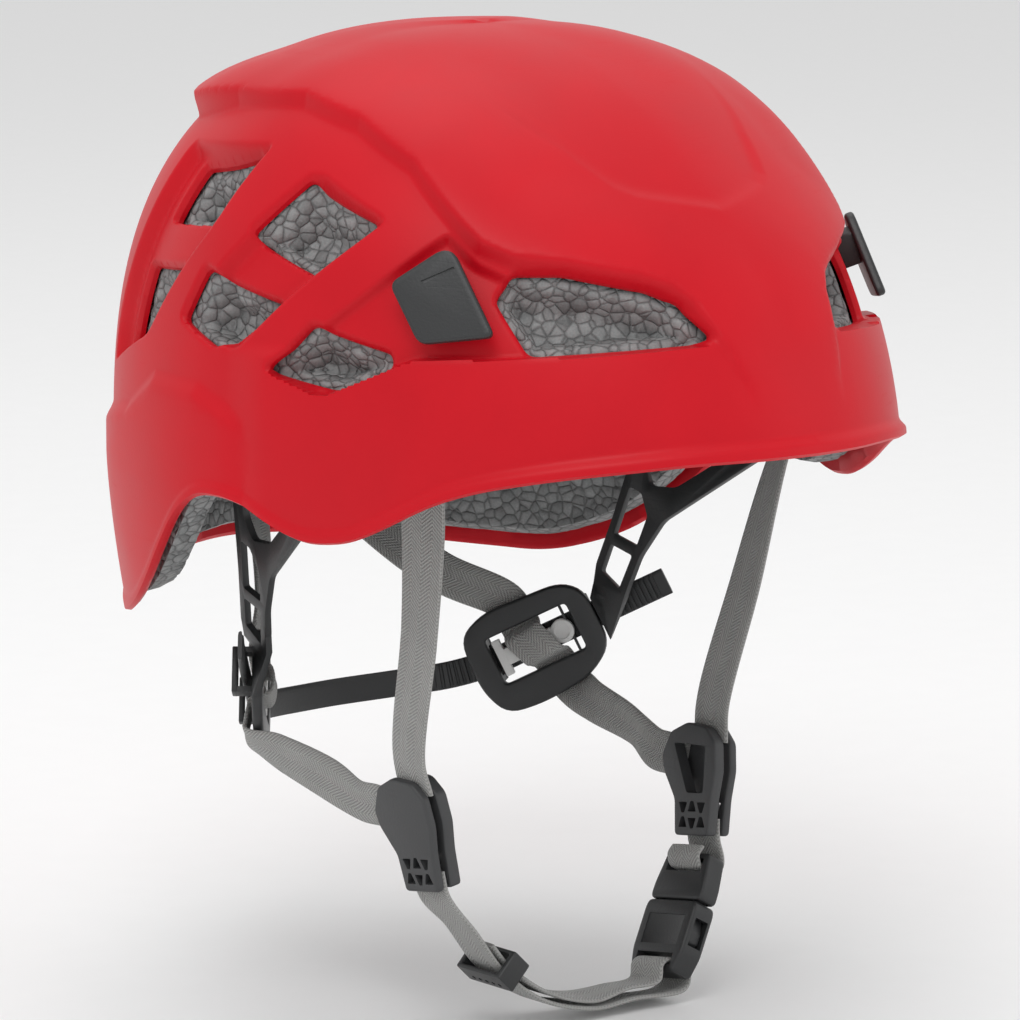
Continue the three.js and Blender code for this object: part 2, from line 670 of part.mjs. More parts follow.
function buildBuckle() {
  const place = buckleFrame();
  const w = BUCKLE_WIDTH / 2;
  const t = BUCKLE_THICK / 2;
  // plug: a cross piece above the mouth, a loop for the short strap and a centre blade
  const shoulders = [[-w, 1.2], [w, 1.2], [w, 6], [w - 2, 17], [-w + 2, 17], [-w, 6]];
  let male = slab(place, shoulders, -t + 0.8, t - 0.8, 2);
  male = male.subtract(bar(place, -8.2, 8.2, 10.6, 15, -9, 9));
  male = male.add(bar(place, -1, 1, -4, 1.6, -1.6, 1.6));
  for (const side of [-1, 1]) {
    male = male.subtract(bar(place, side * 7.9 - 2.6, side * 7.9 + 2.6, -1, 6.6, -2.9, 2.9));
  }
  add('buckle_male', male, BLACK);
  for (const [name, side] of [['front', -1], ['rear', 1]]) {
    const outline = [[7.2, SQUEEZE_ROOT + 2.6], [9.2, SQUEEZE_ROOT + 2.6], [9.1, -3.6], [10.9, -8.6],
      [10.9, -12], [9.2, -14.2], [7.8, -14.6], [7.1, -8], [7, -2]];
    const points = side > 0 ? outline : outline.map(([u, v]) => [-u, v]).reverse();
    add(`prong_${name}`, slab(place, points, -2.2, 2.2, 0.5), BLACK);
  }
  // socket: a flat box open at the mouth, with a window in each side and a bar for the chin strap
  const box = [[-w + 1, 0.8], [w - 1, 0.8], [w, -1.5], [w, -16], [w - 2, -23], [-w + 2, -23],
    [-w, -16], [-w, -1.5]];
  let female = slab(place, box, -t, t, 1.5);
  female = female.subtract(bar(place, -9.8, 9.8, -15.6, 2, -2.7, 2.7));
  for (const side of [-1, 1]) {
    female = female.subtract(bar(place, side * 11 - 2.6, side * 11 + 2.6, -13.6, -4.4, -2.7, 2.7));
  }
  female = female.subtract(bar(place, -8.4, 8.4, -20.8, -17, -9, 9));
  add('buckle_female', female, BLACK);
}

function buildChinStraps() {
  const place = buckleFrame();
  const inBuckle = (u, v, n) => vec(u, v, n).applyMatrix4(place);
  const across = vec(1, 0, 0).transformDirection(place);
  // short strap: out of the left divider, through the plug's loop and back on itself
  const short = [
    [onDivider(0, -12, 0), DIVIDER_REAR], [onDivider(0, -18.5, 0.4), DIVIDER_REAR],
    [inBuckle(0, 18.4, 4.6), across], [inBuckle(0, 15.4, 5.4), across], [inBuckle(0, 12.9, 3.4), across],
    [inBuckle(0, 12.6, 0), across], [inBuckle(0, 12.9, -3.4), across], [inBuckle(0, 15.6, -5.4), across],
    [inBuckle(0, 18.8, -4.6), across],
  ];
  add('buckle_strap', ribbon(short, WEB_WIDTH, WEB_THICK, 28), WEB);
  const back = vec(0, 1, 0);
  const chin = [
    [mirrorX(onDivider(0, -12, 0)), DIVIDER_REAR], [mirrorX(onDivider(0, -20, -0.2)), DIVIDER_REAR],
    [vec(-47, -38, -130), back], [vec(-35, -38, -145), back], [vec(-19, -38.5, -156.5), back],
    [vec(0, -39, -162), back], [vec(17, -40, -162.4), across],
    [inBuckle(0, -25.5, 5.8), across], [inBuckle(0, -21.5, 6.2), across], [inBuckle(0, -19.2, 4), across],
    [inBuckle(0, -18.9, 0), across], [inBuckle(0, -19.2, -4), across], [inBuckle(0, -21.6, -6), across],
    [inBuckle(0, -26.5, -5.2), across], [vec(14, -39.8, -158.6), across], [vec(0, -39, -159.6), back],
    [vec(-18, -38.5, -154), back], [vec(-33.3, -38, -143.3), back], [vec(-40, -38, -135.6), back],
  ];
  add('chin_strap', ribbon(chin, WEB_WIDTH, WEB_THICK, 72), WEB);
  const keeper = frame(vec(-34.2, -38, -144.1), back, vec(0.72, 0, -0.69));
  const inner = 3.5;
  const outer = inner + KEEPER_WALL;
  let body = slab(keeper, [[-10.5, -4], [10.5, -4], [10.5, 4], [-10.5, 4]], -outer, outer, 1);
  body = body.subtract(bar(keeper, -8.4, 8.4, -9, 9, -inner, inner));
  for (let k = -2; k <= 2; k++) body = body.subtract(rod(keeper, k * 3.1, 1.4, -9, 9, 0.7, 6));
  add('strap_keeper', body, BLACK);
}

buildShell();
buildFoam();
buildPads();
buildHooks();
buildElastic();
buildArms();
buildPlates();
buildBand();
buildStraps();
buildAnchors();
buildDividers();
buildBuckle();
buildChinStraps();

export default group;
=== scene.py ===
"""Looks of the climbing helmet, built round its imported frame.

Metres in the frame; the helmet's own drawing sizes below are millimetres and degrees.
+Z is up, the front faces -Y and the wearer's left is +X.
"""

import math

import bmesh
import bpy
import numpy as np
from mathutils import Matrix, Vector
from mathutils.geometry import delaunay_2d_cdt


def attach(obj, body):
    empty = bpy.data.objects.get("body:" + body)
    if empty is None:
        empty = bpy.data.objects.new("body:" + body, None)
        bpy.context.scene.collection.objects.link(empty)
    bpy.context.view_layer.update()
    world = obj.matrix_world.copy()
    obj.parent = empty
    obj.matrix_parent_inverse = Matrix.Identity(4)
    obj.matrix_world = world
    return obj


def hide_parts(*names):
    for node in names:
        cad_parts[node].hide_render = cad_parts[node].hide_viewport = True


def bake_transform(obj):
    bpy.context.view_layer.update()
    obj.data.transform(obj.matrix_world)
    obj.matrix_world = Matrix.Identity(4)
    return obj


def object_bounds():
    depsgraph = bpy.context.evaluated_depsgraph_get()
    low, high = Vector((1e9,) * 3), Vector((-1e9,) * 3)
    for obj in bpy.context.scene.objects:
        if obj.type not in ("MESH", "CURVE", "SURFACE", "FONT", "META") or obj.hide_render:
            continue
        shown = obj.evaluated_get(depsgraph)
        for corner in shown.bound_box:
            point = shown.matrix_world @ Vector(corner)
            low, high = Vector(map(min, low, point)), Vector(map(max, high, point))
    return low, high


bl_info = {
    "name": "Climbing helmet",
    "version": (1, 0, 0),
    "blender": (4, 5, 0),
    "location": "View3D > Sidebar > Helmet",
    "description": "Builds the shell, lining, headband, webbing and buckle of a climbing helmet",
    "category": "Add Mesh",
}

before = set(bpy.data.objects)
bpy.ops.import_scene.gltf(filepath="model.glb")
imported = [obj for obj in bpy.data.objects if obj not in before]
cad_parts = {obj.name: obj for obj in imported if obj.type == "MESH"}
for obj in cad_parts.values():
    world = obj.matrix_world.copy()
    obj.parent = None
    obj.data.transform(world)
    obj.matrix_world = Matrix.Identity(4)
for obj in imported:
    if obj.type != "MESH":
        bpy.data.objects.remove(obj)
CAD_BOX = [list(c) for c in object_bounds()]

MM = 0.001
DEG = math.pi / 180
SIDES = {"right": -1, "left": 1}

# ---------------------------------------------------------------- sizes shared with the frame
FRONT_LENGTH = 151.0
REAR_LENGTH = 137.0
HALF_WIDTH = 112.0
DOME_HEIGHT = 134.0
CENTRE_Y = 6.5
CENTRE_Z = 6.0
PLAN_POWER = 1.8
FRONT_POWER = 1.8
SIDE_POWER = 2.85
REAR_POWER = 2.55
SKIRT_DEPTH = 60.0
WEB_WIDTH = 15.0
PLATE_CENTRE = (57, 49, -67)
PLATE_ALONG = (0.58, -0.68, 0.45)
PLATE_OUT = (0.761, 0.649, 0)
CREASE = 22.0
DIVIDER_CENTRE = (58, -32, -100)
DIVIDER_UP = (0.155, 0.147, 0.977)
DIVIDER_REAR = (0, 0.989, -0.149)
BUCKLE_CENTRE = (43.3, -37.7, -137.6)
BUCKLE_UP = (0.5, 0.13, 0.86)

# lines round the shell as [angle from the front, height or latitude], the same on both sides
RIM_HEIGHT = ((0, 25), (15, 24), (30, 20), (42, 15), (50, 8), (56, 0), (63, -4), (70, -3), (78, 5), (86, 8),
              (92, 5), (98, -7), (104, -19), (110, -29), (118, -38), (130, -45), (145, -43), (162, -39), (180, -37))
HOOD_LINE = ((0, -6), (8.2, -6), (8.6, 14.5), (10.6, 20), (12.6, 25), (14.6, 27.2), (18.3, 28.9), (28, 31.4),
             (36, 32.6), (41, 34.8), (44.8, 38.2), (53.3, 46.3), (66.5, 52.2), (82.8, 55.2), (107, 54),
             (130, 50), (180, 47))
SHIELD_LINE = ((0, 37.8), (1.5, 38.1), (14.2, 41.1), (17.8, 42.9), (25.4, 49.8), (36.4, 57), (52, 66))
BELT_CREASE = ((76, 12), (90, 17), (104, 17.2), (116, 11), (140, 7), (180, 5))
REAR_FIELD = ((117, 48.2), (84.3, 49.8), (91.6, 38.3), (97.3, 32.8), (108.5, 21.3), (131, 14), (130, 20), (124.5, 32))
SIDE_FIELD = ((71.6, 46.8), (55.4, 40), (66.7, 32.9), (72.6, 28.8), (82.3, 21.2), (95.2, 24.6), (87.8, 33.7),
              (84.6, 36.2))
LONG_FIELD = ((74.6, 19.3), (71.3, 22.2), (50.2, 35.6), (45.5, 38.2), (41, 34), (36, 31.8), (28, 30.6), (18, 27.9),
              (14.5, 26), (12.2, 23.6), (10.6, 20.4), (34, 20.8), (49.3, 21.4), (52.4, 20.5), (64.3, 16.2))
VENTS = {
    "upper_rear": ((114, 38.4), (110.5, 45.6), (89.3, 48), (92.6, 39.8)),
    "lower_rear": ((126.5, 18.6), (120.5, 30.4), (103.8, 32.2), (113.5, 21.8)),
    "upper_side": ((81.8, 37.9), (72.8, 45), (59.3, 40.2), (68.3, 34)),
    "lower_side": ((95.6, 25.5), (91.5, 31.8), (75.7, 29.3), (86.8, 22.6)),
    "temple": ((73.6, 19.9), (67, 25.7), (54.4, 22.4), (54.2, 21.2), (62.7, 18.2)),
    "front": ((37.4, 29.3), (35.3, 31.7), (28.3, 31.1), (17.4, 28.1), (13.6, 26.1), (10.8, 21.8), (33.1, 22.2)),
}


# ---------------------------------------------------------------- settings
class HelmetShellSettings(bpy.types.PropertyGroup):
    """Sizes of the shell and its lining."""

    wall: bpy.props.FloatProperty(
        name="Shell wall", description="Thickness of the moulded shell", default=3.0 * MM, unit="LENGTH")
    hood_rise: bpy.props.FloatProperty(
        name="Hood rise", description="How far the crown stands over the side panels", default=4.0 * MM,
        unit="LENGTH")
    field_depth: bpy.props.FloatProperty(
        name="Vent field depth", description="Depth of the sunk fields round the vents", default=4.6 * MM,
        unit="LENGTH")
    belt_rise: bpy.props.FloatProperty(
        name="Belt rise", description="How far the lower band stands out", default=2.4 * MM, unit="LENGTH")
    lip: bpy.props.FloatProperty(
        name="Brim lip", description="Flare of the lower edge at the front", default=2.0 * MM, unit="LENGTH")
    bead: bpy.props.FloatProperty(
        name="Foam bead", description="Width of one bead of the expanded foam", default=4.2 * MM, unit="LENGTH")


class HelmetFinishSettings(bpy.types.PropertyGroup):
    """Colours of the finishes."""

    shell: bpy.props.FloatVectorProperty(
        name="Shell", description="Colour of the moulded shell", default=(0.56, 0.0035, 0.012), subtype="COLOR",
        size=3)
    foam: bpy.props.FloatVectorProperty(
        name="Foam", description="Colour of the foam beads", default=(0.27, 0.275, 0.275), subtype="COLOR",
        size=3)
    webbing: bpy.props.FloatVectorProperty(
        name="Webbing", description="Colour of the woven straps", default=(0.33, 0.33, 0.32), subtype="COLOR",
        size=3)
    black: bpy.props.FloatVectorProperty(
        name="Black plastic", description="Colour of the hooks, plates and buckle", default=(0.022, 0.023, 0.024),
        subtype="COLOR", size=3)
    grey: bpy.props.FloatVectorProperty(
        name="Grey plastic", description="Colour of the strap dividers", default=(0.045, 0.046, 0.048),
        subtype="COLOR", size=3)
    white: bpy.props.FloatVectorProperty(
        name="White plastic", description="Colour of the headband locks", default=(0.66, 0.66, 0.65), subtype="COLOR",
        size=3)


class HelmetStageSettings(bpy.types.PropertyGroup):
    """The camera and the light."""

    distance: bpy.props.FloatProperty(
        name="Camera distance", description="From the camera to the helmet", default=1.623, unit="LENGTH")
    turn: bpy.props.FloatProperty(
        name="Camera turn", description="Angle round the helmet from its front", default=-39.7 * DEG,
        subtype="ANGLE")
    height: bpy.props.FloatProperty(
        name="Camera height", description="Angle above the horizon", default=9.5 * DEG, subtype="ANGLE")
    lens: bpy.props.FloatProperty(name="Lens", description="Focal length in millimetres", default=183.5)


# ---------------------------------------------------------------- shell surface
def along(line, at):
    """The value of a drawn line at these angles."""
    points = np.array(line, float)
    return np.interp(at, points[:, 0], points[:, 1])


def eased(line, at, width):
    """The same with the corners of the drawn line rounded over this many degrees."""
    total = 0
    for shift in (-1, -0.66, -0.33, 0, 0.33, 0.66, 1):
        place = np.abs(at + shift * width)
        total = total + along(line, np.where(place > 180, 360 - place, place))
    return total / 7


def ease(t):
    c = np.clip(t, 0, 1)
    return c * c * (3 - 2 * c)


def plan_radius(angle):
    s = np.abs(np.sin(angle)) / HALF_WIDTH
    c = np.abs(np.cos(angle)) / np.where(np.cos(angle) > 0, FRONT_LENGTH, REAR_LENGTH)
    return (s ** PLAN_POWER + c ** PLAN_POWER) ** (-1 / PLAN_POWER)


def skin(angle_deg, latitude, offset):
    """Points of the shell's surface in millimetres, moved outward by offset."""
    angle = np.asarray(angle_deg, float) * DEG
    lat = np.asarray(latitude, float) * DEG
    plan = plan_radius(angle)
    front = np.maximum(np.cos(angle), 0) ** 2
    rear = np.maximum(-np.cos(angle), 0) ** 2
    power = FRONT_POWER * front + REAR_POWER * rear + SIDE_POWER * (1 - front - rear)
    up = np.maximum(lat, 0)
    above = ((np.cos(up) / plan) ** power + (np.sin(up) / DOME_HEIGHT) ** power) ** (-1 / power)
    down = np.minimum(lat, 0)
    drop = -plan * np.tan(down) / SKIRT_DEPTH
    below = plan * (1 - 0.06 * drop ** 1.4) / np.cos(down)
    reach = np.where(lat >= 0, above, below) + offset
    return np.stack([
        reach * np.cos(lat) * np.sin(angle),
        CENTRE_Y - reach * np.cos(lat) * np.cos(angle),
        CENTRE_Z + reach * np.sin(lat)], axis=-1)


def rim_latitude(angle_deg, lift=0.0):
    a = np.abs(np.asarray(angle_deg, float))
    return np.arctan2(eased(RIM_HEIGHT, a, 4.5) + lift - CENTRE_Z, plan_radius(a * DEG)) / DEG


# the drawing plane of the shell's side: about one millimetre a unit at vent height
SCALE_ACROSS = 1.95
SCALE_UP = 2.2


def flat(points):
    return np.array(points, float) * (SCALE_ACROSS, SCALE_UP)


def line_distance(at, line, closed=False):
    """Distance in the drawing plane from each point to a line."""
    best = np.full(len(at), 1e9)
    ends = list(line) + ([line[0]] if closed else [])
    for a, b in zip(ends[:-1], ends[1:]):
        d = b - a
        t = np.clip(((at - a) @ d) / (d @ d), 0, 1)
        best = np.minimum(best, np.linalg.norm(at - a - t[:, None] * d, axis=1))
    return best


def inside(at, loop):
    result = np.zeros(len(at), bool)
    x, y = at[:, 0], at[:, 1]
    for (x0, y0), (x1, y1) in zip(loop, np.roll(loop, -1, axis=0)):
        if y0 == y1:
            continue
        crosses = (y0 > y) != (y1 > y)
        result ^= crosses & (x < (x1 - x0) * (y - y0) / (y1 - y0) + x0)
    return result


def depth_in(at, loop):
    """Signed distance to a closed outline, positive inside."""
    return np.where(inside(at, loop), 1, -1) * line_distance(at, loop, True)


def rounded_loop(corners, radius, step=0.8):
    """A closed outline with rounded corners, sampled evenly."""
    corners = [np.array(c, float) for c in corners]
    points = []
    n = len(corners)
    for i, p in enumerate(corners):
        a, b = corners[i - 1], corners[(i + 1) % n]
        ra = min(radius, np.linalg.norm(a - p) * 0.45)
        rb = min(radius, np.linalg.norm(b - p) * 0.45)
        start = p + (a - p) / np.linalg.norm(a - p) * ra
        end = p + (b - p) / np.linalg.norm(b - p) * rb
        for t in np.linspace(0, 1, 7):
            points.append((1 - t) ** 2 * start + 2 * t * (1 - t) * p + t * t * end)
    points = np.array(points)
    ring = np.vstack([points, points[:1]])
    length = np.concatenate([[0], np.cumsum(np.linalg.norm(np.diff(ring, axis=0), axis=1))])
    count = max(12, int(length[-1] / step))
    at = np.linspace(0, length[-1], count, endpoint=False)
    return np.stack([np.interp(at, length, ring[:, 0]), np.interp(at, length, ring[:, 1])], axis=-1)


VENT_EASE = 1.3                 # room for the rolled lip inside each opening


def grown(corners, by):
    """The outline moved outwards by this distance."""
    n = len(corners)
    turn = np.sign(sum(a[0] * b[1] - a[1] * b[0] for a, b in zip(corners, np.roll(corners, -1, axis=0))))
    result = []
    for i, p in enumerate(corners):
        a = (p - corners[i - 1]) / np.linalg.norm(p - corners[i - 1])
        b = (corners[(i + 1) % n] - p) / np.linalg.norm(corners[(i + 1) % n] - p)
        na, nb = turn * np.array((a[1], -a[0])), turn * np.array((b[1], -b[0]))
        middle = (na + nb) / np.linalg.norm(na + nb)
        result.append(p + middle * by / max(middle @ na, 0.6))
    return np.array(result)


VENT_LOOPS = {name: rounded_loop(grown(flat(c), VENT_EASE), 2.4) for name, c in VENTS.items()}
FIELD_LOOPS = {
    "rear": rounded_loop(flat(REAR_FIELD), 5),
    "side": rounded_loop(flat(SIDE_FIELD), 5),
    "long": rounded_loop(flat(LONG_FIELD), 2.5),
}


def above_line(at, line):
    """Signed distance to an open line drawn round the shell, positive above it."""
    side = np.where(at[:, 1] > along(line, at[:, 0] / SCALE_ACROSS) * SCALE_UP, 1, -1)
    return side * line_distance(at, flat(line))


def relief(at, shell):
    """Height of the shell over its plain surface, in millimetres."""
    lat = at[:, 1] / SCALE_UP
    angle = at[:, 0] / SCALE_ACROSS
    hood_step = above_line(at, HOOD_LINE)
    tall = shell.hood_rise / MM * (1 + 0.8 * ease((angle - 95) / 30))
    front = 1 - ease((lat - 11) / 12)
    tall = tall + (shell.belt_rise / MM - tall) * front * (angle < 20)
    settle = 1 - 0.68 * ease(hood_step / 34) * (1 - front * (angle < 20))
    height = tall * ease((hood_step + 0.5) / 4.2) * settle
    belt = shell.belt_rise / MM
    low_front = 1 - ease((angle - 74) / 10)
    ledge = np.where(depth_in(at, FIELD_LOOPS["long"]) > 0, 0, ease((23.5 - lat) / 3)) * low_front
    rear_belt = ease(-above_line(at, BELT_CREASE) / 7) * (1 - low_front)
    height = np.maximum(height, belt * np.maximum(ledge, rear_belt))
    sunk = shell.field_depth / MM
    for name in ("rear", "side"):
        height = height - sunk * ease(depth_in(at, FIELD_LOOPS[name]) / 4)
    long_depth = 2.6 * ease((depth_in(at, FIELD_LOOPS["long"]) + 0.4) / 2.4)
    height = height - long_depth
    shield = ease(above_line(at, SHIELD_LINE) / 5) * ease((64 - lat) / 20)
    height = height - 1.1 * shield
    edge = (lat - rim_latitude(angle)) * SCALE_UP
    flare = shell.lip / MM * (1 - 0.6 * ease((angle - 40) / 25))
    height = height + flare * ease((4.6 - edge) / 3)
    return height


def vent_roll(at, radius=1.8):
    """How far the surface rolls in at the edge of each vent."""
    near = np.full(len(at), 1e9)
    for loop in VENT_LOOPS.values():
        near = np.minimum(near, line_distance(at, loop, True))
    d = np.clip(near, 0, radius)
    return radius - np.sqrt(radius ** 2 - (radius - d) ** 2)


def feature_distance(at):
    """Distance to the nearest line that needs fine facets."""
    lines = [flat(HOOD_LINE), flat(BELT_CREASE)]
    near = np.minimum(line_distance(at, lines[0]), line_distance(at, lines[1]) + 2)
    near = np.minimum(near, line_distance(at, flat(SHIELD_LINE)) + 1)
    for loop in [*VENT_LOOPS.values(), *FIELD_LOOPS.values()]:
        near = np.minimum(near, line_distance(at, loop, True))
    edge = at[:, 1] - rim_latitude(at[:, 0] / SCALE_ACROSS) * SCALE_UP
    return np.minimum(near, np.abs(edge - 2.5) + 0.5)


CROWN_LATITUDE = 66.0
CROWN_ROWS = 14
RIM_POINTS = 241
SEAM_POINTS = 60
FULL = 180 * SCALE_ACROSS


def half_net(step, refine, holes, lower):
    """Triangles over one half of the shell in the drawing plane, with its border loops."""
    top = CROWN_LATITUDE * SCALE_UP
    rim_angles = np.linspace(0, 180, RIM_POINTS)
    rim = np.stack([rim_angles * SCALE_ACROSS, lower(rim_angles) * SCALE_UP], axis=-1)
    crown_angles = np.arange(0, 180.1, 1.5)
    crown = np.stack([crown_angles * SCALE_ACROSS, np.full(len(crown_angles), top)], axis=-1)
    rear = np.linspace(rim[-1], crown[-1], SEAM_POINTS)[1:-1]
    front = np.linspace(crown[0], rim[0], SEAM_POINTS)[1:-1]
    border = np.vstack([rim, rear, crown[::-1], front])
    lowest = int(rim[:, 1].min() / step)
    columns, rows = np.meshgrid(np.arange(1, int(FULL / step)), np.arange(lowest, int(top / step)))
    at = np.stack([(columns + 0.5 * (rows % 2)) * step, rows * step], axis=-1).reshape(-1, 2)
    clear = 0.6 * step
    ok = (at[:, 1] < top - clear) & (at[:, 0] < FULL - clear)
    ok &= at[:, 1] > lower(at[:, 0] / SCALE_ACROSS) * SCALE_UP + clear
    if refine is not None:
        near = refine(at)
        coarse = (columns.ravel() % 4 == 0) & (rows.ravel() % 4 == 0)
        middling = (columns.ravel() % 2 == 0) & (rows.ravel() % 2 == 0)
        ok &= (near < 3.4) | ((near < 9) & middling) | coarse
    at = at[ok]
    for loop in holes:
        at = at[(line_distance(at, loop, True) > 0.45 * min(step, 1)) & ~inside(at, loop)]
    loops = []
    count = 0
    for loop in (border, *holes):
        loops.append(np.arange(count, count + len(loop)))
        count += len(loop)
    edges = [(int(a), int(b)) for ids in loops for a, b in zip(ids, np.roll(ids, -1))]
    points = np.vstack([border, *holes, at])
    made = delaunay_2d_cdt([Vector(p) for p in points], edges, [], 0, 1e-7, False)
    if len(made[0]) != len(points):
        raise RuntimeError("two outlines of the shell touch")
    faces = np.array(made[2])
    middle = points[faces].mean(axis=1)
    good = inside(middle, border)
    for loop in holes:
        good &= ~inside(middle, loop)
    start = RIM_POINTS + SEAM_POINTS - 2
    return {"points": points, "faces": faces[good], "rim": loops[0][:RIM_POINTS], "holes": loops[1:],
            "crown": loops[0][start:start + len(crown)][::-1]}


def whole_skin(net, height):
    """The half net and its crown lifted and mirrored: points, faces and the ids of each mirror twin."""
    at = net["points"]
    layers = [skin(at[:, 0] / SCALE_ACROSS, at[:, 1] / SCALE_UP, height(at))]
    angles = at[net["crown"], 0] / SCALE_ACROSS
    ids = net["crown"]
    faces = [net["faces"]]
    count = len(at)
    for k in range(1, CROWN_ROWS + 1):
        lat = CROWN_LATITUDE + (90 - CROWN_LATITUDE) * k / CROWN_ROWS
        ring = np.stack([angles * SCALE_ACROSS, np.full(len(angles), lat * SCALE_UP)], axis=-1)
        if k == CROWN_ROWS:
            ring = ring[:1]
        layers.append(skin(ring[:, 0] / SCALE_ACROSS, ring[:, 1] / SCALE_UP, height(ring)))
        above = np.arange(count, count + len(ring)) if k < CROWN_ROWS else np.full(len(ids), count)
        faces.append(np.stack([ids[:-1], ids[1:], above[1:]], axis=-1))
        if k < CROWN_ROWS:
            faces.append(np.stack([ids[:-1], above[1:], above[:-1]], axis=-1))
        count += len(ring)
        ids = above
    half = np.vstack(layers)
    seam = np.abs(half[:, 0]) < 1e-3
    half[seam, 0] = 0
    twin = np.where(seam, np.arange(len(half)), np.arange(len(half)) + len(half))
    faces = np.vstack(faces)
    return np.vstack([half, half * (-1, 1, 1)]), np.vstack([faces, twin[faces][:, ::-1]]), twin


def bowl(name, outer, inner, lower, holes, steps, refine, bulge):
    """A closed bowl between two skins, joined round the rim and through each hole."""
    points, faces, rims, hole_loops = [], [], [], []
    count = 0
    for k, (height, step) in enumerate(((outer, steps[0]), (inner, steps[1]))):
        net = half_net(step, refine if k == 0 else None, holes, lower)
        place, tris, twin = whole_skin(net, height)
        points.append(place)
        faces.append((tris if k == 0 else tris[:, ::-1]) + count)
        rims.append((net["rim"] + count, twin[net["rim"]] + count))
        hole_loops.append([(ids + count, twin[ids] + count) for ids in net["holes"]])
        count += len(place)
    everything = np.vstack(points)
    extra = []
    for half in (0, 1):
        for out_loop, in_loop in zip(*hole_loops):
            faces.append(strip(out_loop[half], in_loop[half], True, half == 1))
        a, b = rims[0][half], rims[1][half]
        middle = (everything[a] + everything[b]) / 2
        middle[:, 2] -= bulge
        ids = np.arange(count, count + len(middle))
        if half == 1:
            ids[[0, -1]] = first_ids[[0, -1]]
        first_ids = ids
        extra.append(middle)
        count += len(middle)
        faces.append(strip(a, ids, False, half == 1))
        faces.append(strip(ids, b, False, half == 1))
    return mesh_object(name, np.vstack([everything, *extra]), np.vstack(faces))


def strip(a, b, closed, turned):
    """Two triangles for each step between two runs of points."""
    nexta, nextb = np.roll(a, -1), np.roll(b, -1)
    if not closed:
        a, b, nexta, nextb = a[:-1], b[:-1], nexta[:-1], nextb[:-1]
    tris = np.vstack([np.stack([a, b, nextb], axis=-1), np.stack([a, nextb, nexta], axis=-1)])
    return tris[:, ::-1] if turned else tris


def mesh_object(name, points, faces):
    """A new object from millimetre points; unused points are dropped and its faces keep the winding they are given."""
    used, ids = np.unique(np.asarray(faces), return_inverse=True)
    mesh = bpy.data.meshes.new(name)
    mesh.from_pydata((points[used] * MM).tolist(), [], ids.reshape(np.shape(faces)).tolist())
    mesh.update()
    obj = bpy.data.objects.new(name, mesh)
    bpy.context.collection.objects.link(obj)
    return obj


def build_shell(shell):
    def outer(at):
        return relief(at, shell) - vent_roll(at)

    def inner(at):
        return relief(at, shell) - shell.wall / MM - 0.3

    holes = list(VENT_LOOPS.values())
    return bowl("shell", outer, inner, rim_latitude, holes, (0.8, 4.0), feature_distance, 0.9)


# ---------------------------------------------------------------- foam lining
CROWN_FOAM = 20.0
SIDE_FOAM = 12.5
EDGE_FOAM = 8.0
FOAM_TOP = 4.4                  # below the shell's plain surface


def bead_relief(points, width):
    """Height in millimetres of packed round beads at these points of the foam."""
    cell = np.floor(points / width).astype(np.int64)
    nearest = np.full(len(points), 1e9)
    for shift in np.ndindex(3, 3, 3):
        c = cell + np.array(shift) - 1
        seed = (c[:, 0] * 73856093) ^ (c[:, 1] * 19349663) ^ (c[:, 2] * 83492791)
        jitter = np.stack([((seed * k) % 1000003) / 1000003 for k in (16807, 48271, 69621)], axis=-1)
        centre = (c + 0.15 + 0.7 * jitter) * width
        nearest = np.minimum(nearest, ((points - centre) ** 2).sum(axis=1))
    return 0.42 - 0.75 * nearest / width ** 2


def foam_outer(at, shell):
    """Offset of the foam's outer face: it follows the sunk fields and is pocketed behind each vent."""
    height = np.minimum(0.0, relief(at, shell)) - FOAM_TOP
    pocket = np.zeros(len(at))
    for name, loop in VENT_LOOPS.items():
        deep = 9.0 if name == "front" else 7.5
        pocket = np.maximum(pocket, deep * ease((depth_in(at, loop) - 1.6) / 6))
    return np.maximum(height - pocket, foam_inner(at) + 2.4)


def foam_inner(at):
    lat = at[:, 1] / SCALE_UP
    angle = at[:, 0] / SCALE_ACROSS
    rising = ease((lat - rim_latitude(angle)) / 16)
    depth = EDGE_FOAM + (SIDE_FOAM - EDGE_FOAM) * rising
    crown = ease((lat - 36) / 14)
    return -FOAM_TOP - depth - (CROWN_FOAM - SIDE_FOAM) * crown


def foam_detail(at):
    """Distance that keeps fine facets behind the vents and along the foam's lower edge."""
    near = np.full(len(at), 1e9)
    for loop in VENT_LOOPS.values():
        near = np.minimum(near, np.maximum(-depth_in(at, loop) - 1, 0))
    edge = at[:, 1] - foam_edge(at[:, 0] / SCALE_ACROSS) * SCALE_UP
    return np.minimum(near, np.maximum(edge - 2, 0))


def foam_edge(angle_deg):
    return rim_latitude(angle_deg, 3.5)


def build_foam(shell):
    width = shell.bead / MM
    foam = bowl("foam_lining", lambda at: foam_outer(at, shell), foam_inner, foam_edge, [], (1.15, 3.2),
                foam_detail, 0.4)
    points = np.array([v.co for v in foam.data.vertices]) / MM
    normals = np.array([v.normal for v in foam.data.vertices])
    points += normals * bead_relief(points, width)[:, None]
    foam.data.vertices.foreach_set("co", (points * MM).ravel())
    foam.data.update()
    return foam


# ---------------------------------------------------------------- node materials
def socket(tree, name, kind, direction, value=None):
    made = tree.interface.new_socket(name=name, in_out=direction, socket_type=kind)
    if value is not None:
        made.default_value = value
    return made


def node(tree, kind, **values):
    made = tree.nodes.new(kind)
    for key, value in values.items():
        setattr(made, key, value)
    return made


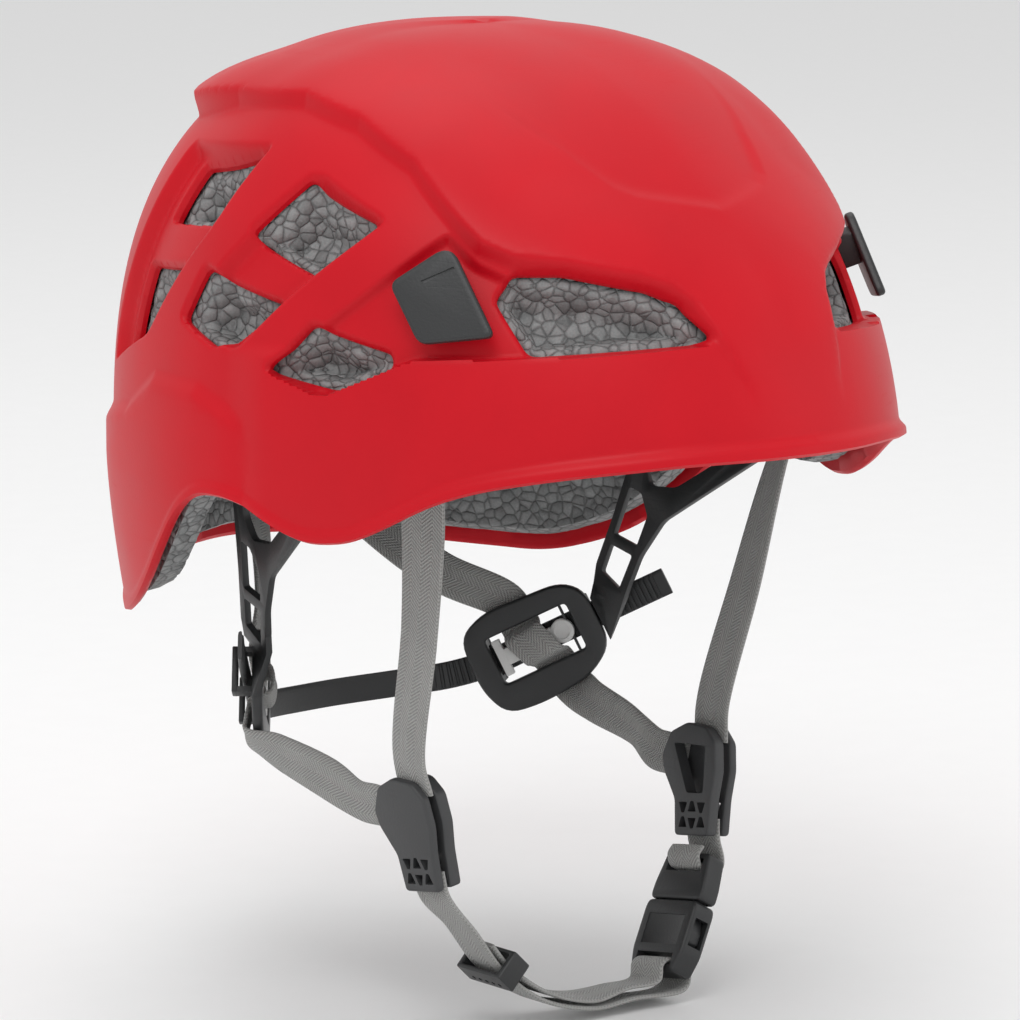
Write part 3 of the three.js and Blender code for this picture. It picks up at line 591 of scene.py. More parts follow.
def math_node(tree, operation, a, b=None, c=None, clamp=False):
    made = node(tree, "ShaderNodeMath", operation=operation, use_clamp=clamp)
    for i, value in enumerate((a, b, c)):
        if value is None:
            continue
        if isinstance(value, (int, float)):
            made.inputs[i].default_value = value
        else:
            tree.links.new(value, made.inputs[i])
    return made.outputs[0]


def mix_colour(tree, factor, a, b, blend="MIX"):
    made = node(tree, "ShaderNodeMix", data_type="RGBA", blend_type=blend)
    for i, value in ((0, factor), (6, a), (7, b)):
        if isinstance(value, (int, float, tuple)):
            made.inputs[i].default_value = value
        else:
            tree.links.new(value, made.inputs[i])
    return made.outputs[2]


def ramp(tree, value, low, high):
    made = node(tree, "ShaderNodeMapRange", interpolation_type="SMOOTHSTEP")
    tree.links.new(value, made.inputs[0])
    made.inputs[1].default_value = low
    made.inputs[2].default_value = high
    return made.outputs[0]


def group_tree(name, inputs, outputs):
    tree = bpy.data.node_groups.new(name, "ShaderNodeTree")
    for label, kind, value in inputs:
        socket(tree, label, kind, "INPUT", value)
    for label, kind in outputs:
        socket(tree, label, kind, "OUTPUT")
    return tree, node(tree, "NodeGroupInput"), node(tree, "NodeGroupOutput")


def moulded_grain():
    """Fine spark-eroded grain of moulded plastic with faint handling marks: height, roughness and tint."""
    tree, start, end = group_tree("moulded_grain", [
        ("Vector", "NodeSocketVector", None), ("Grain", "NodeSocketFloat", 1500.0),
        ("Roughness", "NodeSocketFloat", 0.4), ("Marks", "NodeSocketFloat", 0.3)],
        [("Height", "NodeSocketFloat"), ("Roughness", "NodeSocketFloat"), ("Tint", "NodeSocketFloat")])
    fine = node(tree, "ShaderNodeTexNoise")
    fine.inputs["Detail"].default_value = 3
    tree.links.new(start.outputs["Vector"], fine.inputs["Vector"])
    tree.links.new(start.outputs["Grain"], fine.inputs["Scale"])
    broad = node(tree, "ShaderNodeTexNoise")
    broad.inputs["Scale"].default_value = 26
    broad.inputs["Detail"].default_value = 5
    tree.links.new(start.outputs["Vector"], broad.inputs["Vector"])
    stretch = node(tree, "ShaderNodeMapping")
    stretch.inputs["Scale"].default_value = (60, 60, 700)
    stretch.inputs["Rotation"].default_value = (0.6, 0.35, 0.2)
    tree.links.new(start.outputs["Vector"], stretch.inputs["Vector"])
    scratch = node(tree, "ShaderNodeTexNoise")
    scratch.inputs["Scale"].default_value = 1
    scratch.inputs["Detail"].default_value = 2
    tree.links.new(stretch.outputs[0], scratch.inputs["Vector"])
    marks = math_node(tree, "MULTIPLY", ramp(tree, scratch.outputs["Fac"], 0.63, 0.72), start.outputs["Marks"])
    tree.links.new(math_node(tree, "SUBTRACT", fine.outputs["Fac"], marks), end.inputs["Height"])
    uneven = math_node(tree, "MULTIPLY_ADD", broad.outputs["Fac"], 0.16, -0.08)
    rough = math_node(tree, "ADD", start.outputs["Roughness"], uneven)
    rough = math_node(tree, "MULTIPLY_ADD", marks, 0.2, rough, clamp=True)
    tree.links.new(rough, end.inputs["Roughness"])
    tree.links.new(math_node(tree, "MULTIPLY_ADD", broad.outputs["Fac"], 0.22, 0.89), end.inputs["Tint"])
    return tree


def herringbone():
    """Woven band: x across and y along in millimetres gives height, a weave shade painted from that height (lighter on
    raised threads, darker in the hollows between them) and a selvedge mask.
    """
    tree, start, end = group_tree("herringbone", [
        ("Vector", "NodeSocketVector", None), ("Column", "NodeSocketFloat", 3.6), ("Pitch", "NodeSocketFloat", 1.25),
        ("Half width", "NodeSocketFloat", 7.5)],
        [("Height", "NodeSocketFloat"), ("Tone", "NodeSocketFloat"), ("Edge", "NodeSocketFloat")])
    split = node(tree, "ShaderNodeSeparateXYZ")
    tree.links.new(start.outputs["Vector"], split.inputs[0])
    x, y = split.outputs[0], split.outputs[1]
    column = math_node(tree, "PINGPONG", x, start.outputs["Column"])
    slanted = math_node(tree, "DIVIDE", math_node(tree, "ADD", y, column), start.outputs["Pitch"])
    wave = math_node(tree, "SINE", math_node(tree, "MULTIPLY", slanted, 2 * math.pi))
    thread = math_node(tree, "SINE", math_node(tree, "MULTIPLY", x, 2 * math.pi / 0.6))
    height = math_node(tree, "MULTIPLY_ADD", thread, 0.22, math_node(tree, "MULTIPLY_ADD", wave, 0.39, 0.5))
    away = math_node(tree, "SUBTRACT", start.outputs["Half width"], math_node(tree, "ABSOLUTE", x))
    edge = math_node(tree, "SUBTRACT", 1.0, ramp(tree, away, 0.4, 1.0))
    tree.links.new(height, end.inputs["Height"])
    # painted shade: the colour follows the weave's height, lighter on the raised threads and darker in the hollows
    # between them
    tree.links.new(math_node(tree, "MULTIPLY_ADD", height, 0.6, 0.66), end.inputs["Tone"])
    tree.links.new(edge, end.inputs["Edge"])
    return tree


GROUPS = {}


def material(name):
    made = bpy.data.materials.new(name)
    made.use_nodes = True
    tree = made.node_tree
    return made, tree, tree.nodes["Principled BSDF"]


def place_group(tree, key, vector, **values):
    if key not in GROUPS:
        GROUPS[key] = {"grain": moulded_grain, "weave": herringbone}[key]()
    made = node(tree, "ShaderNodeGroup", node_tree=GROUPS[key])
    tree.links.new(vector, made.inputs["Vector"])
    for label, value in values.items():
        made.inputs[label.replace("_", " ")].default_value = value
    return made


def bump(tree, shader, height, strength, distance):
    made = node(tree, "ShaderNodeBump")
    made.inputs["Strength"].default_value = strength
    made.inputs["Distance"].default_value = distance
    tree.links.new(height, made.inputs["Height"])
    tree.links.new(made.outputs[0], shader.inputs["Normal"])
    return made


def tinted(tree, colour, tint):
    shade = node(tree, "ShaderNodeCombineColor")
    for i in range(3):
        tree.links.new(tint, shade.inputs[i])
    return mix_colour(tree, 1.0, (*colour, 1), shade.outputs[0], "MULTIPLY")


def plastic(name, colour, rough, grain, strength, marks=0.25, specular=0.5):
    made, tree, shader = material(name)
    where = node(tree, "ShaderNodeTexCoord").outputs["Object"]
    group = place_group(tree, "grain", where, Grain=grain, Roughness=rough, Marks=marks)
    tree.links.new(tinted(tree, colour, group.outputs["Tint"]), shader.inputs["Base Color"])
    tree.links.new(group.outputs["Roughness"], shader.inputs["Roughness"])
    shader.inputs["Specular IOR Level"].default_value = specular
    bump(tree, shader, group.outputs["Height"], strength, 0.0002)
    return made


def foam_material(name, colour, bead):
    made, tree, shader = material(name)
    where = node(tree, "ShaderNodeTexCoord").outputs["Object"]
    cells = node(tree, "ShaderNodeTexVoronoi", feature="F1")
    cells.inputs["Scale"].default_value = 1 / bead
    cells.inputs["Randomness"].default_value = 0.85
    tree.links.new(where, cells.inputs["Vector"])
    gaps = node(tree, "ShaderNodeTexVoronoi", feature="DISTANCE_TO_EDGE")
    gaps.inputs["Scale"].default_value = 1 / bead
    gaps.inputs["Randomness"].default_value = 0.85
    tree.links.new(where, gaps.inputs["Vector"])
    pores = node(tree, "ShaderNodeTexNoise")
    pores.inputs["Scale"].default_value = 1400
    tree.links.new(where, pores.inputs["Vector"])
    # seam rises from 0 in the gaps between beads to 1 across each bead; it darkens the colour in the gaps as painted
    # shade and also lifts the bump height
    seam = ramp(tree, gaps.outputs["Distance"], -0.03, 0.13)
    grey = node(tree, "ShaderNodeSeparateColor")
    tree.links.new(cells.outputs["Color"], grey.inputs[0])
    tone = math_node(tree, "MULTIPLY_ADD", grey.outputs[0], 0.4, 0.78)
    # painted shade: the colour is darker in the crevices between beads
    tone = math_node(tree, "MULTIPLY", tone, math_node(tree, "MULTIPLY_ADD", seam, 0.35, 0.65))
    tone = math_node(tree, "MULTIPLY", tone, math_node(tree, "MULTIPLY_ADD", pores.outputs["Fac"], 0.5, 0.75))
    tree.links.new(tinted(tree, colour, tone), shader.inputs["Base Color"])
    shader.inputs["Roughness"].default_value = 0.72
    shader.inputs["Specular IOR Level"].default_value = 0.35
    height = math_node(tree, "MULTIPLY", cells.outputs["Distance"], cells.outputs["Distance"])
    height = math_node(tree, "MULTIPLY_ADD", height, -1.6, math_node(tree, "MULTIPLY", seam, 0.3))
    height = math_node(tree, "MULTIPLY_ADD", pores.outputs["Fac"], 0.15, height)
    bump(tree, shader, height, 0.9, 0.0012)
    return made


def webbing_material(name, colour, half_width):
    made, tree, shader = material(name)
    where = node(tree, "ShaderNodeUVMap", uv_map="weave").outputs[0]
    group = place_group(tree, "weave", where, Half_width=half_width)
    broad = node(tree, "ShaderNodeTexNoise")
    broad.inputs["Scale"].default_value = 0.08
    tree.links.new(where, broad.inputs["Vector"])
    fuzz = node(tree, "ShaderNodeTexNoise")
    fuzz.inputs["Scale"].default_value = 4.5
    fuzz.inputs["Detail"].default_value = 4
    tree.links.new(where, fuzz.inputs["Vector"])
    faded = math_node(tree, "MULTIPLY_ADD", broad.outputs["Fac"], 0.2, 0.9)
    # tone holds the weave's painted shade (darker in the hollows between threads) times a random fade and fuzz
    tone = math_node(tree, "MULTIPLY", group.outputs["Tone"], faded)
    tone = math_node(tree, "MULTIPLY", tone, math_node(tree, "MULTIPLY_ADD", fuzz.outputs["Fac"], 0.3, 0.85))
    tree.links.new(tinted(tree, colour, tone), shader.inputs["Base Color"])
    shader.inputs["Roughness"].default_value = 0.72
    shader.inputs["Sheen Weight"].default_value = 0.35
    shader.inputs["Sheen Roughness"].default_value = 0.4
    shader.inputs["Specular IOR Level"].default_value = 0.3
    plain = math_node(tree, "SUBTRACT", 1.0, group.outputs["Edge"])
    height = math_node(tree, "MULTIPLY", group.outputs["Height"], plain)
    bump(tree, shader, height, 0.75, 0.00045)
    return made


def cloth_material(name, colour):
    made, tree, shader = material(name)
    where = node(tree, "ShaderNodeTexCoord").outputs["Object"]
    nap = node(tree, "ShaderNodeTexNoise")
    nap.inputs["Scale"].default_value = 900
    nap.inputs["Detail"].default_value = 5
    tree.links.new(where, nap.inputs["Vector"])
    tree.links.new(tinted(tree, colour, math_node(tree, "MULTIPLY_ADD", nap.outputs["Fac"], 0.8, 0.6)),
                   shader.inputs["Base Color"])
    shader.inputs["Roughness"].default_value = 0.95
    shader.inputs["Sheen Weight"].default_value = 0.5
    bump(tree, shader, nap.outputs["Fac"], 0.6, 0.0006)
    return made


def metal_material(name):
    made, tree, shader = material(name)
    where = node(tree, "ShaderNodeTexCoord").outputs["Object"]
    group = place_group(tree, "grain", where, Grain=900.0, Roughness=0.34, Marks=0.8)
    tree.links.new(tinted(tree, (0.42, 0.42, 0.43), group.outputs["Tint"]), shader.inputs["Base Color"])
    tree.links.new(group.outputs["Roughness"], shader.inputs["Roughness"])
    shader.inputs["Metallic"].default_value = 1.0
    bump(tree, shader, group.outputs["Height"], 0.15, 0.0001)
    return made


FINISH = {}


def make_finishes(colours):
    FINISH["shell"] = plastic("red_shell", tuple(colours.shell), 0.42, 1300.0, 0.16, marks=0.1, specular=0.2)
    FINISH["black"] = plastic("black_moulding", tuple(colours.black), 0.42, 1100.0, 0.3)
    FINISH["grey"] = plastic("grey_moulding", tuple(colours.grey), 0.5, 1100.0, 0.35)
    FINISH["white"] = plastic("white_lock", tuple(colours.white), 0.36, 1400.0, 0.15, marks=0.15)
    FINISH["foam"] = foam_material("bead_foam", tuple(colours.foam), 0.0036)
    FINISH["webbing"] = webbing_material("grey_webbing", tuple(colours.webbing), WEB_WIDTH / 2)
    FINISH["pad"] = cloth_material("pad_cloth", (0.05, 0.052, 0.056))
    FINISH["steel"] = metal_material("anchor_steel")
    FINISH["elastic"] = cloth_material("elastic_cover", (0.02, 0.02, 0.021))


def finish_piece(obj, finish, body, nodes, smooth=40):
    """Smooths, paints and mounts a finished piece on its body, in place of its frame nodes."""
    obj.data.materials.clear()
    obj.data.materials.append(FINISH[finish])
    bpy.ops.object.select_all(action="DESELECT")
    obj.select_set(True)
    bpy.context.view_layer.objects.active = obj
    bpy.ops.object.shade_smooth_by_angle(angle=smooth * DEG)
    if body is not None:
        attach(obj, body)
    if nodes:
        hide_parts(*nodes)
    return obj


# ---------------------------------------------------------------- drawing frames and moulded plates
def drawing_frame(origin, u, v):
    """A local frame in millimetres: u and v in the piece's face, n its outward normal."""
    eu = Vector(u).normalized()
    en = eu.cross(Vector(v)).normalized()
    ev = en.cross(eu)
    place = Matrix((eu, ev, en)).transposed().to_4x4()
    place.translation = Vector(origin)
    return place


def plate_frame():
    up = Vector(PLATE_ALONG).cross(Vector(PLATE_OUT))
    return drawing_frame(PLATE_CENTRE, PLATE_ALONG, -up)


def arm_frame():
    origin = Vector(PLATE_CENTRE) + Vector(PLATE_ALONG).normalized() * (CREASE + 0.3)
    return drawing_frame(origin, (0.102, -0.946, -0.272), (0.224, -0.247, 0.942))


def divider_frame():
    return drawing_frame(DIVIDER_CENTRE, DIVIDER_REAR, DIVIDER_UP)


def buckle_frame():
    return drawing_frame(BUCKLE_CENTRE, (0, 1, -0.15), BUCKLE_UP)


def only(obj):
    bpy.ops.object.select_all(action="DESELECT")
    obj.select_set(True)
    bpy.context.view_layer.objects.active = obj


def slab(corners, low, high, radius=1.0):
    """A flat moulding cut to an outline with rounded corners, in its own frame."""
    loop = corners if radius == 0 else soft_corners(corners, radius)
    bpy.ops.object.select_all(action="DESELECT")
    bpy.ops.mesh.primitive_circle_add(vertices=len(loop), radius=1, fill_type="NGON", location=(0, 0, 0))
    obj = bpy.context.object
    for vertex, (x, y) in zip(obj.data.vertices, loop):
        vertex.co = (x, y, low)
    bpy.ops.object.mode_set(mode="EDIT")
    bpy.ops.mesh.select_all(action="SELECT")
    bpy.ops.mesh.extrude_region_move(TRANSFORM_OT_translate={"value": (0, 0, high - low)})
    bpy.ops.mesh.select_all(action="SELECT")
    bpy.ops.mesh.normals_make_consistent(inside=False)
    bpy.ops.object.mode_set(mode="OBJECT")
    return obj


def soft_corners(corners, radius, steps=5):
    """An outline with each corner turned into a short curve."""
    loop = []
    n = len(corners)
    for i, p in enumerate(corners):
        p = Vector(p)
        a, b = Vector(corners[i - 1]), Vector(corners[(i + 1) % n])
        start = p + (a - p).normalized() * min(radius, (a - p).length * 0.45)
        end = p + (b - p).normalized() * min(radius, (b - p).length * 0.45)
        for k in range(steps + 1):
            t = k / steps
            loop.append(tuple((1 - t) ** 2 * start + 2 * t * (1 - t) * p + t * t * end))
    return loop


def bar(u0, u1, v0, v1, n0, n1):
    bpy.ops.object.select_all(action="DESELECT")
    bpy.ops.mesh.primitive_cube_add(size=1, location=(0, 0, 0))
    obj = bpy.context.object
    size = Matrix.Diagonal((u1 - u0, v1 - v0, n1 - n0, 1))
    obj.data.transform(Matrix.Translation(((u0 + u1) / 2, (v0 + v1) / 2, (n0 + n1) / 2)) @ size)
    return obj


def rod(u, v, n0, n1, radius, sides=28):
    bpy.ops.object.select_all(action="DESELECT")
    bpy.ops.mesh.primitive_cylinder_add(vertices=sides, radius=radius, depth=n1 - n0, location=(0, 0, 0))
    obj = bpy.context.object
    obj.data.transform(Matrix.Translation((u, v, (n0 + n1) / 2)))
    return obj


def combine(obj, others, operation):
    """Joins or cuts a moulding with others, which are used up."""
    for other in others:
        only(obj)
        modifier = obj.modifiers.new("combine", "BOOLEAN")
        modifier.operation = operation
        modifier.solver = "EXACT"
        modifier.object = other
        bpy.ops.object.modifier_apply(modifier=modifier.name)
        bpy.data.objects.remove(other)
    return obj


def soften(obj, width, segments=2, angle=38):
    """Rounds the sharp edges of a moulding."""
    only(obj)
    bpy.ops.object.mode_set(mode="EDIT")
    bpy.ops.mesh.select_all(action="SELECT")
    bpy.ops.mesh.remove_doubles(threshold=0.01)
    bpy.ops.mesh.dissolve_limited(angle_limit=0.5 * DEG)
    bpy.ops.object.mode_set(mode="OBJECT")
    modifier = obj.modifiers.new("soften", "BEVEL")
    modifier.width = width
    modifier.segments = segments
    modifier.limit_method = "ANGLE"
    modifier.angle_limit = angle * DEG
    modifier.use_clamp_overlap = True
    modifier.miter_outer = "MITER_ARC"
    bpy.ops.object.modifier_apply(modifier=modifier.name)
    return obj


def set_in_place(obj, place, name):
    """Moves a moulding from its drawing frame to the helmet, in metres."""
    obj.data.transform(Matrix.Scale(MM, 4) @ place)
    obj.name = name
    obj.data.name = name
    return obj


def mirrored_copy(obj, name):
    """The same piece for the wearer's other side."""
    twin = obj.copy()
    twin.data = obj.data.copy()
    twin.name = name
    bpy.context.collection.objects.link(twin)
    twin.data.transform(Matrix.Diagonal((-1, 1, 1, 1)))
    twin.data.flip_normals()
    return twin


def both_sides(obj, finish, body, nodes):
    """Finishes a left piece and its right twin. body and nodes may hold {side}."""
    stem = obj.name.replace("_left", "")
    for side in SIDES:
        piece = obj if side == "left" else mirrored_copy(obj, f"{stem}_right")
        finish_piece(piece, finish, body.format(side=side), [n.format(side=side) for n in nodes])


# ---------------------------------------------------------------- webbing
def strap_curve(stations, steps):
    """Centripetal curve through the stations, the same one that the frame's straps follow."""
    points = np.array(stations, float)
    n = len(points)
    result = []
    for k in range(steps + 1):
        p = (n - 1) * k / steps
        i = min(int(p), n - 2)
        w = p - i
        p1, p2 = points[i], points[i + 1]
        p0 = points[i - 1] if i > 0 else 2 * p1 - p2
        p3 = points[i + 2] if i + 2 < n else 2 * p2 - p1
        d = [max(np.linalg.norm(b - a) ** 0.5, 1e-4) for a, b in ((p0, p1), (p1, p2), (p2, p3))]
        t1 = ((p1 - p0) / d[0] - (p2 - p0) / (d[0] + d[1]) + (p2 - p1) / d[1]) * d[1]
        t2 = ((p2 - p1) / d[1] - (p3 - p1) / (d[1] + d[2]) + (p3 - p2) / d[2]) * d[1]
        c2 = -3 * p1 + 3 * p2 - 2 * t1 - t2
        c3 = 2 * p1 - 2 * p2 + t1 + t2
        result.append(p1 + t1 * w + c2 * w * w + c3 * w ** 3)
    return np.array(result)


def strap(name, stations, width, thick, steps, start=0.0, end=1.0, profile=None):
    """A woven band through stations of (point, direction of its width), with rounded selvedges."""
    centre = strap_curve([s[0] for s in stations], steps)
    across = strap_curve([s[1] for s in stations], steps)
    tangent = np.gradient(centre, axis=0)
    tangent /= np.linalg.norm(tangent, axis=1)[:, None]
    side = across - (across * tangent).sum(axis=1)[:, None] * tangent
    side /= np.linalg.norm(side, axis=1)[:, None]
    up = np.cross(side, tangent)
    length = np.concatenate([[0], np.cumsum(np.linalg.norm(np.diff(centre, axis=0), axis=1))])
    low, high = int(round(start * steps)), int(round(end * steps))
    half, t = width / 2, thick / 2
    top = [(x, t * (1.0 if abs(x) < half - 1.2 else 0.82)) for x in np.linspace(half - 0.35, 0.35 - half, 9)]
    section = [(half, -0.3 * t), (half, 0.3 * t), *top, (-half, 0.3 * t), (-half, -0.3 * t)]
    section += [(-x, -y) for x, y in top]
    count = len(section)
    points, uvs = [], []
    for i in range(low, high + 1):
        over, under = profile(i / steps) if profile else (t, t)
        for x, y in section:
            points.append(centre[i] + side[i] * x + up[i] * (y / t) * (over if y > 0 else under))
            uvs.append((x, length[i] + (0 if y >= 0 else 40)))
    faces = []
    rings = high - low
    for i in range(rings):
        for j in range(count):
            a, b = i * count + j, i * count + (j + 1) % count
            faces.append((a, a + count, b + count, b))
    faces.append(tuple(range(count)))
    faces.append(tuple(range(rings * count + count - 1, rings * count - 1, -1)))
    mesh = bpy.data.meshes.new(name)
    mesh.from_pydata((np.array(points) * MM).tolist(), [], faces)
    layer = mesh.uv_layers.new(name="weave")
    loop_vertex = np.zeros(len(mesh.loops), int)
    mesh.loops.foreach_get("vertex_index", loop_vertex)
    layer.data.foreach_set("uv", np.array(uvs)[loop_vertex].ravel())
    obj = bpy.data.objects.new(name, mesh)
    bpy.context.collection.objects.link(obj)
    face_out(obj)
    return obj


def face_out(obj):
    """Turns a closed mesh right way out."""
    work = bmesh.new()
    work.from_mesh(obj.data)
    if work.calc_volume(signed=True) < 0:
        bmesh.ops.reverse_faces(work, faces=work.faces)
    work.to_mesh(obj.data)
    work.free()


def mirror_x(p):
    return (-p[0], p[1], p[2])


def mirrored_stations(stations):
    return [(mirror_x(p), mirror_x(w)) for p, w in stations]


def spot(place, u, v, n):
    """A point of a drawing frame in the helmet's millimetres."""
    return tuple(place @ Vector((u, v, n)))


def way(place, u, v, n):
    """A direction of a drawing frame."""
    return tuple((place.to_3x3() @ Vector((u, v, n))).normalized())


def loft(rings):
    """A closed solid through rings with the same number of points."""
    count = len(rings[0])
    faces = [[(i * count + j), i * count + (j + 1) % count, (i + 1) * count + (j + 1) % count, (i + 1) * count + j]
             for i in range(len(rings) - 1) for j in range(count)]
    faces += [list(range(count))[::-1], [(len(rings) - 1) * count + j for j in range(count)]]
    mesh = bpy.data.meshes.new("loft")
    mesh.from_pydata([tuple(p) for ring in rings for p in ring], [], faces)
    obj = bpy.data.objects.new("loft", mesh)
    bpy.context.collection.objects.link(obj)
    face_out(obj)
    return obj


def tube(name, path, radius, steps, sides=14):
    """A round elastic cord along a curve; its sizes are in millimetres."""
    centre = strap_curve(path, steps)
    tangent = np.gradient(centre, axis=0)
    tangent /= np.linalg.norm(tangent, axis=1)[:, None]
    side = np.cross(tangent, (0.0, 1.0, 0.0))
    side /= np.linalg.norm(side, axis=1)[:, None]
    up = np.cross(tangent, side)
    turns = np.arange(sides) / sides * 2 * math.pi
    rings = [centre[i] + radius * (np.cos(turns)[:, None] * side[i] + np.sin(turns)[:, None] * up[i])
             for i in range(len(centre))]
    obj = loft(rings)
    obj.data.transform(Matrix.Scale(MM, 4))
    obj.name = name
    obj.data.name = name
    return obj


# ---------------------------------------------------------------- pieces of the helmet
HOOK_OUTLINE = ((-16.5, 3.5), (-2, 14.5), (2, 14), (17, -10.5), (-5.5, -14))
HOOK_FOOT = ((-9, 3), (-2, 10.5), (4, 9), (2, -2))
ARM_OUTLINE = ((-7.2, 14), (-7.2, 18), (-7.4, 32), (-10, 76), (-2.5, 77), (-2.6, 53), (2.5, 46.5), (13, 50),
               (33, 73), (36, 83), (44, 84), (45, 77), (12.5, 38), (8.6, 24), (8.4, 14))
ARM_WINDOWS = (((-4.2, 13.5), (-4.4, 23), (5.6, 23), (5.2, 11)),
               ((-4.6, 26.6), (-5, 43), (0.4, 43), (6, 37), (6, 26.6)))
STUDS = {"front": (41, 79), "rear": (-6, 72)}
PLATE_OUTLINE = ((-24.5, 7), (-20, 17.5), (-7, 19), (11, 17.5), (21.7, 10.5), (21.7, -9), (15, -15), (-13, -16.5),
                 (-23.5, -12))
PLATE_WINDOW = ((-16, -8), (14, -8), (14, 8.2), (-16, 8.2))
LOCK_TEE = ((-14.4, -6.5), (-11.6, -6.5), (-11.6, -2.8), (6, -2.8), (6, 2.8), (-11.6, 2.8), (-11.6, 6), (-14.4, 6))
DIVIDER_OUTLINE = ((-10.5, 12), (-6, 17), (3, 18.5), (11, 15.5), (15, 8), (14, 3), (8.5, -6), (8, -17.5), (-8, -17.5),
                   (-9, -6), (-11, 3))
DIVIDER_OPENING = ((-6.2, 11), (9, 12), (2.4, -4), (-5.4, -4))
BUCKLE_HALF = 12.0
BUCKLE_DEEP = 4.5


HOOK_LIFT = 2.8


def hook_frame():
    forward = Vector(skin(37, 28, 0) - skin(54, 29.5, 0))
    upward = Vector(skin(45, 34, 0) - skin(46, 24, 0))
    return drawing_frame(skin(45.5, 28.7, HOOK_LIFT), forward, upward)


def make_hooks():
    plate = soften(slab(HOOK_OUTLINE, -3, 0, 3), 1.0, 4)
    groove = soften(slab(((-7, 4.6), (2.4, 9.4), (2.9, 8.9), (-5.6, 4.1)), -3.6, -2.6, 0.2), 0.1)
    plate = combine(plate, [groove], "DIFFERENCE")
    plate = combine(plate, [soften(slab(HOOK_FOOT, -0.5, 9.4, 1.5), 0.3)], "UNION")
    set_in_place(plate, hook_frame(), "lamp_hook_left")
    both_sides(plate, "black", "helmet", ["lamp_hook_{side}"])


def elastic_frame():
    return drawing_frame(skin(180, 24.6, 3.1), (-1, 0, 0), Vector(skin(180, 30, 0) - skin(180, 20, 0)))


def make_elastic():
    half = [(11, 41, -2.4), (11, 41, 3.6), (11, 37, 3.6), (10, 32, 3.2), (6, 27, 3.2)]
    path = [skin(180 - a, lat, off) for a, lat, off in half] + [skin(180, 25.5, 3.2)]
    path += [skin(180 + a, lat, off) for a, lat, off in half[::-1]]
    cord = tube("lamp_elastic", path, 1.3, 90)
    finish_piece(cord, "elastic", None, ["lamp_elastic"])
    tuple(skin(180, 34, 3) * MM)
    tuple(skin(180, 27, 3) * MM)
    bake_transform(cord)
    body = soften(slab(((-8, -7), (8, -7), (9, 4), (-9, 4)), -1.7, 5, 2), 0.9, 3)
    set_in_place(body, elastic_frame(), "lamp_elastic_hook")
    finish_piece(body, "black", "lamp_hook_rear", ["lamp_elastic_hook"])


def band_room(place):
    """The room that a free end of the headband needs beside the arm's foot, in the arm's frame."""
    room = bar(20, 52, -5.6, 5.6, 2.3, 8)
    room.data.transform(place.inverted() @ plate_frame())
    return room


def make_arms():
    place = arm_frame()
    plate = plate_frame()
    arm = slab(ARM_OUTLINE, -1.1, 1.1, 2)

    def foot(v, n):
        return tuple(place.inverted() @ (plate @ Vector((CREASE + 0.3, v, n))))

    neck = loft([[foot(-6, 1.2), foot(9.3, 1.2), foot(9.3, -1.2), foot(-6, -1.2)],
                 [(-5.6, 9, -1.1), (8.4, 9, -1.1), (8.4, 9, 1.1), (-5.6, 9, 1.1)],
                 [(-7.2, 15, -1.1), (8.3, 15, -1.1), (8.3, 15, 1.1), (-7.2, 15, 1.1)]])
    combine(arm, [neck], "UNION")
    combine(arm, [slab(w, -4, 4, 1) for w in ARM_WINDOWS], "DIFFERENCE")
    combine(arm, [band_room(place)], "DIFFERENCE")
    combine(arm, [rod(w, t, -8, 8, 2.4) for w, t in STUDS.values()], "DIFFERENCE")
    soften(arm, 0.4)
    set_in_place(arm, place, "arm_left")
    both_sides(arm, "black", "helmet", ["arm_{side}"])
    for end, (w, t) in STUDS.items():
        stud = combine(soften(rod(w, t, 1.5, 4, 4), 0.5, 3), [rod(w, t, -11, 2, 2)], "UNION")
        set_in_place(stud, place, f"arm_stud_{end}_left")
        both_sides(stud, "black", "helmet", [f"arm_stud_{end}_{{side}}"])


def make_plates():
    place = plate_frame()
    plate = combine(slab(PLATE_OUTLINE, -1.7, 1.7, 6), [slab(PLATE_WINDOW, -5, 5, 1.5)], "DIFFERENCE")
    soften(plate, 1.0, 4)
    ribs = [soften(bar(11.2, 12, -9.4, 9.4, -0.6, 0.6), 0.15)]
    for u0, u1 in ((-20, -16.2), (14.2, 20)):
        ribs.append(soften(bar(u0, u1, -7.4, 7.4, 6.2, 8), 0.4))
        ribs += [bar(u0 + 0.2, u1 - 0.2, v - 0.9, v + 0.9, 1.2, 6.5) for v in (-6.4, 6.4)]
    combine(plate, ribs, "UNION")
    set_in_place(plate, place, "plate_left")
    both_sides(plate, "black", "headband", ["plate_{side}"])
    lock = combine(soften(slab(LOCK_TEE, -1.2, 1, 0.4), 0.3), [soften(rod(9, 0, -1.3, 1.05, 4), 0.45, 3)], "UNION")
    combine(lock, [soften(rod(9, 0, -2, -1.0, 2.6), 0.2)], "DIFFERENCE")
    set_in_place(lock, place, "lock_left")
    both_sides(lock, "white", "lock_{side}_body", ["lock_{side}"])


def band_stations():
    place = plate_frame()
    lean = way(place, 0, 1, 0)
    half = [(spot(place, 47, 0, 3.6), lean), (spot(place, 34, 0, 4), lean), (spot(place, 20, 0, 4), lean),
            (spot(place, 0, 0, 4), lean), (spot(place, -18, 0, 4), lean),
            ((40, 73.5, -79.5), tuple(Vector((0, 0, -1)).lerp(Vector(lean), 0.4))),
            ((22, 81.5, -81.5), (0, 0, -1)), ((0, 84.5, -82), (0, 0, -1))]
    return half + mirrored_stations(half[:-1][::-1])


def make_band():
    def toothed(t):
        from_end = min(t, 1 - t)
        tooth = 0.02 < from_end < 0.38 and round(t * 192) % 2 == 0
        return (0.9, 0.9) if tooth else (0.9, 0.4)

    band = strap("nape_band", band_stations(), 9, 1.8, 768, profile=toothed)
    finish_piece(band, "black", "headband", ["nape_band"], smooth=35)


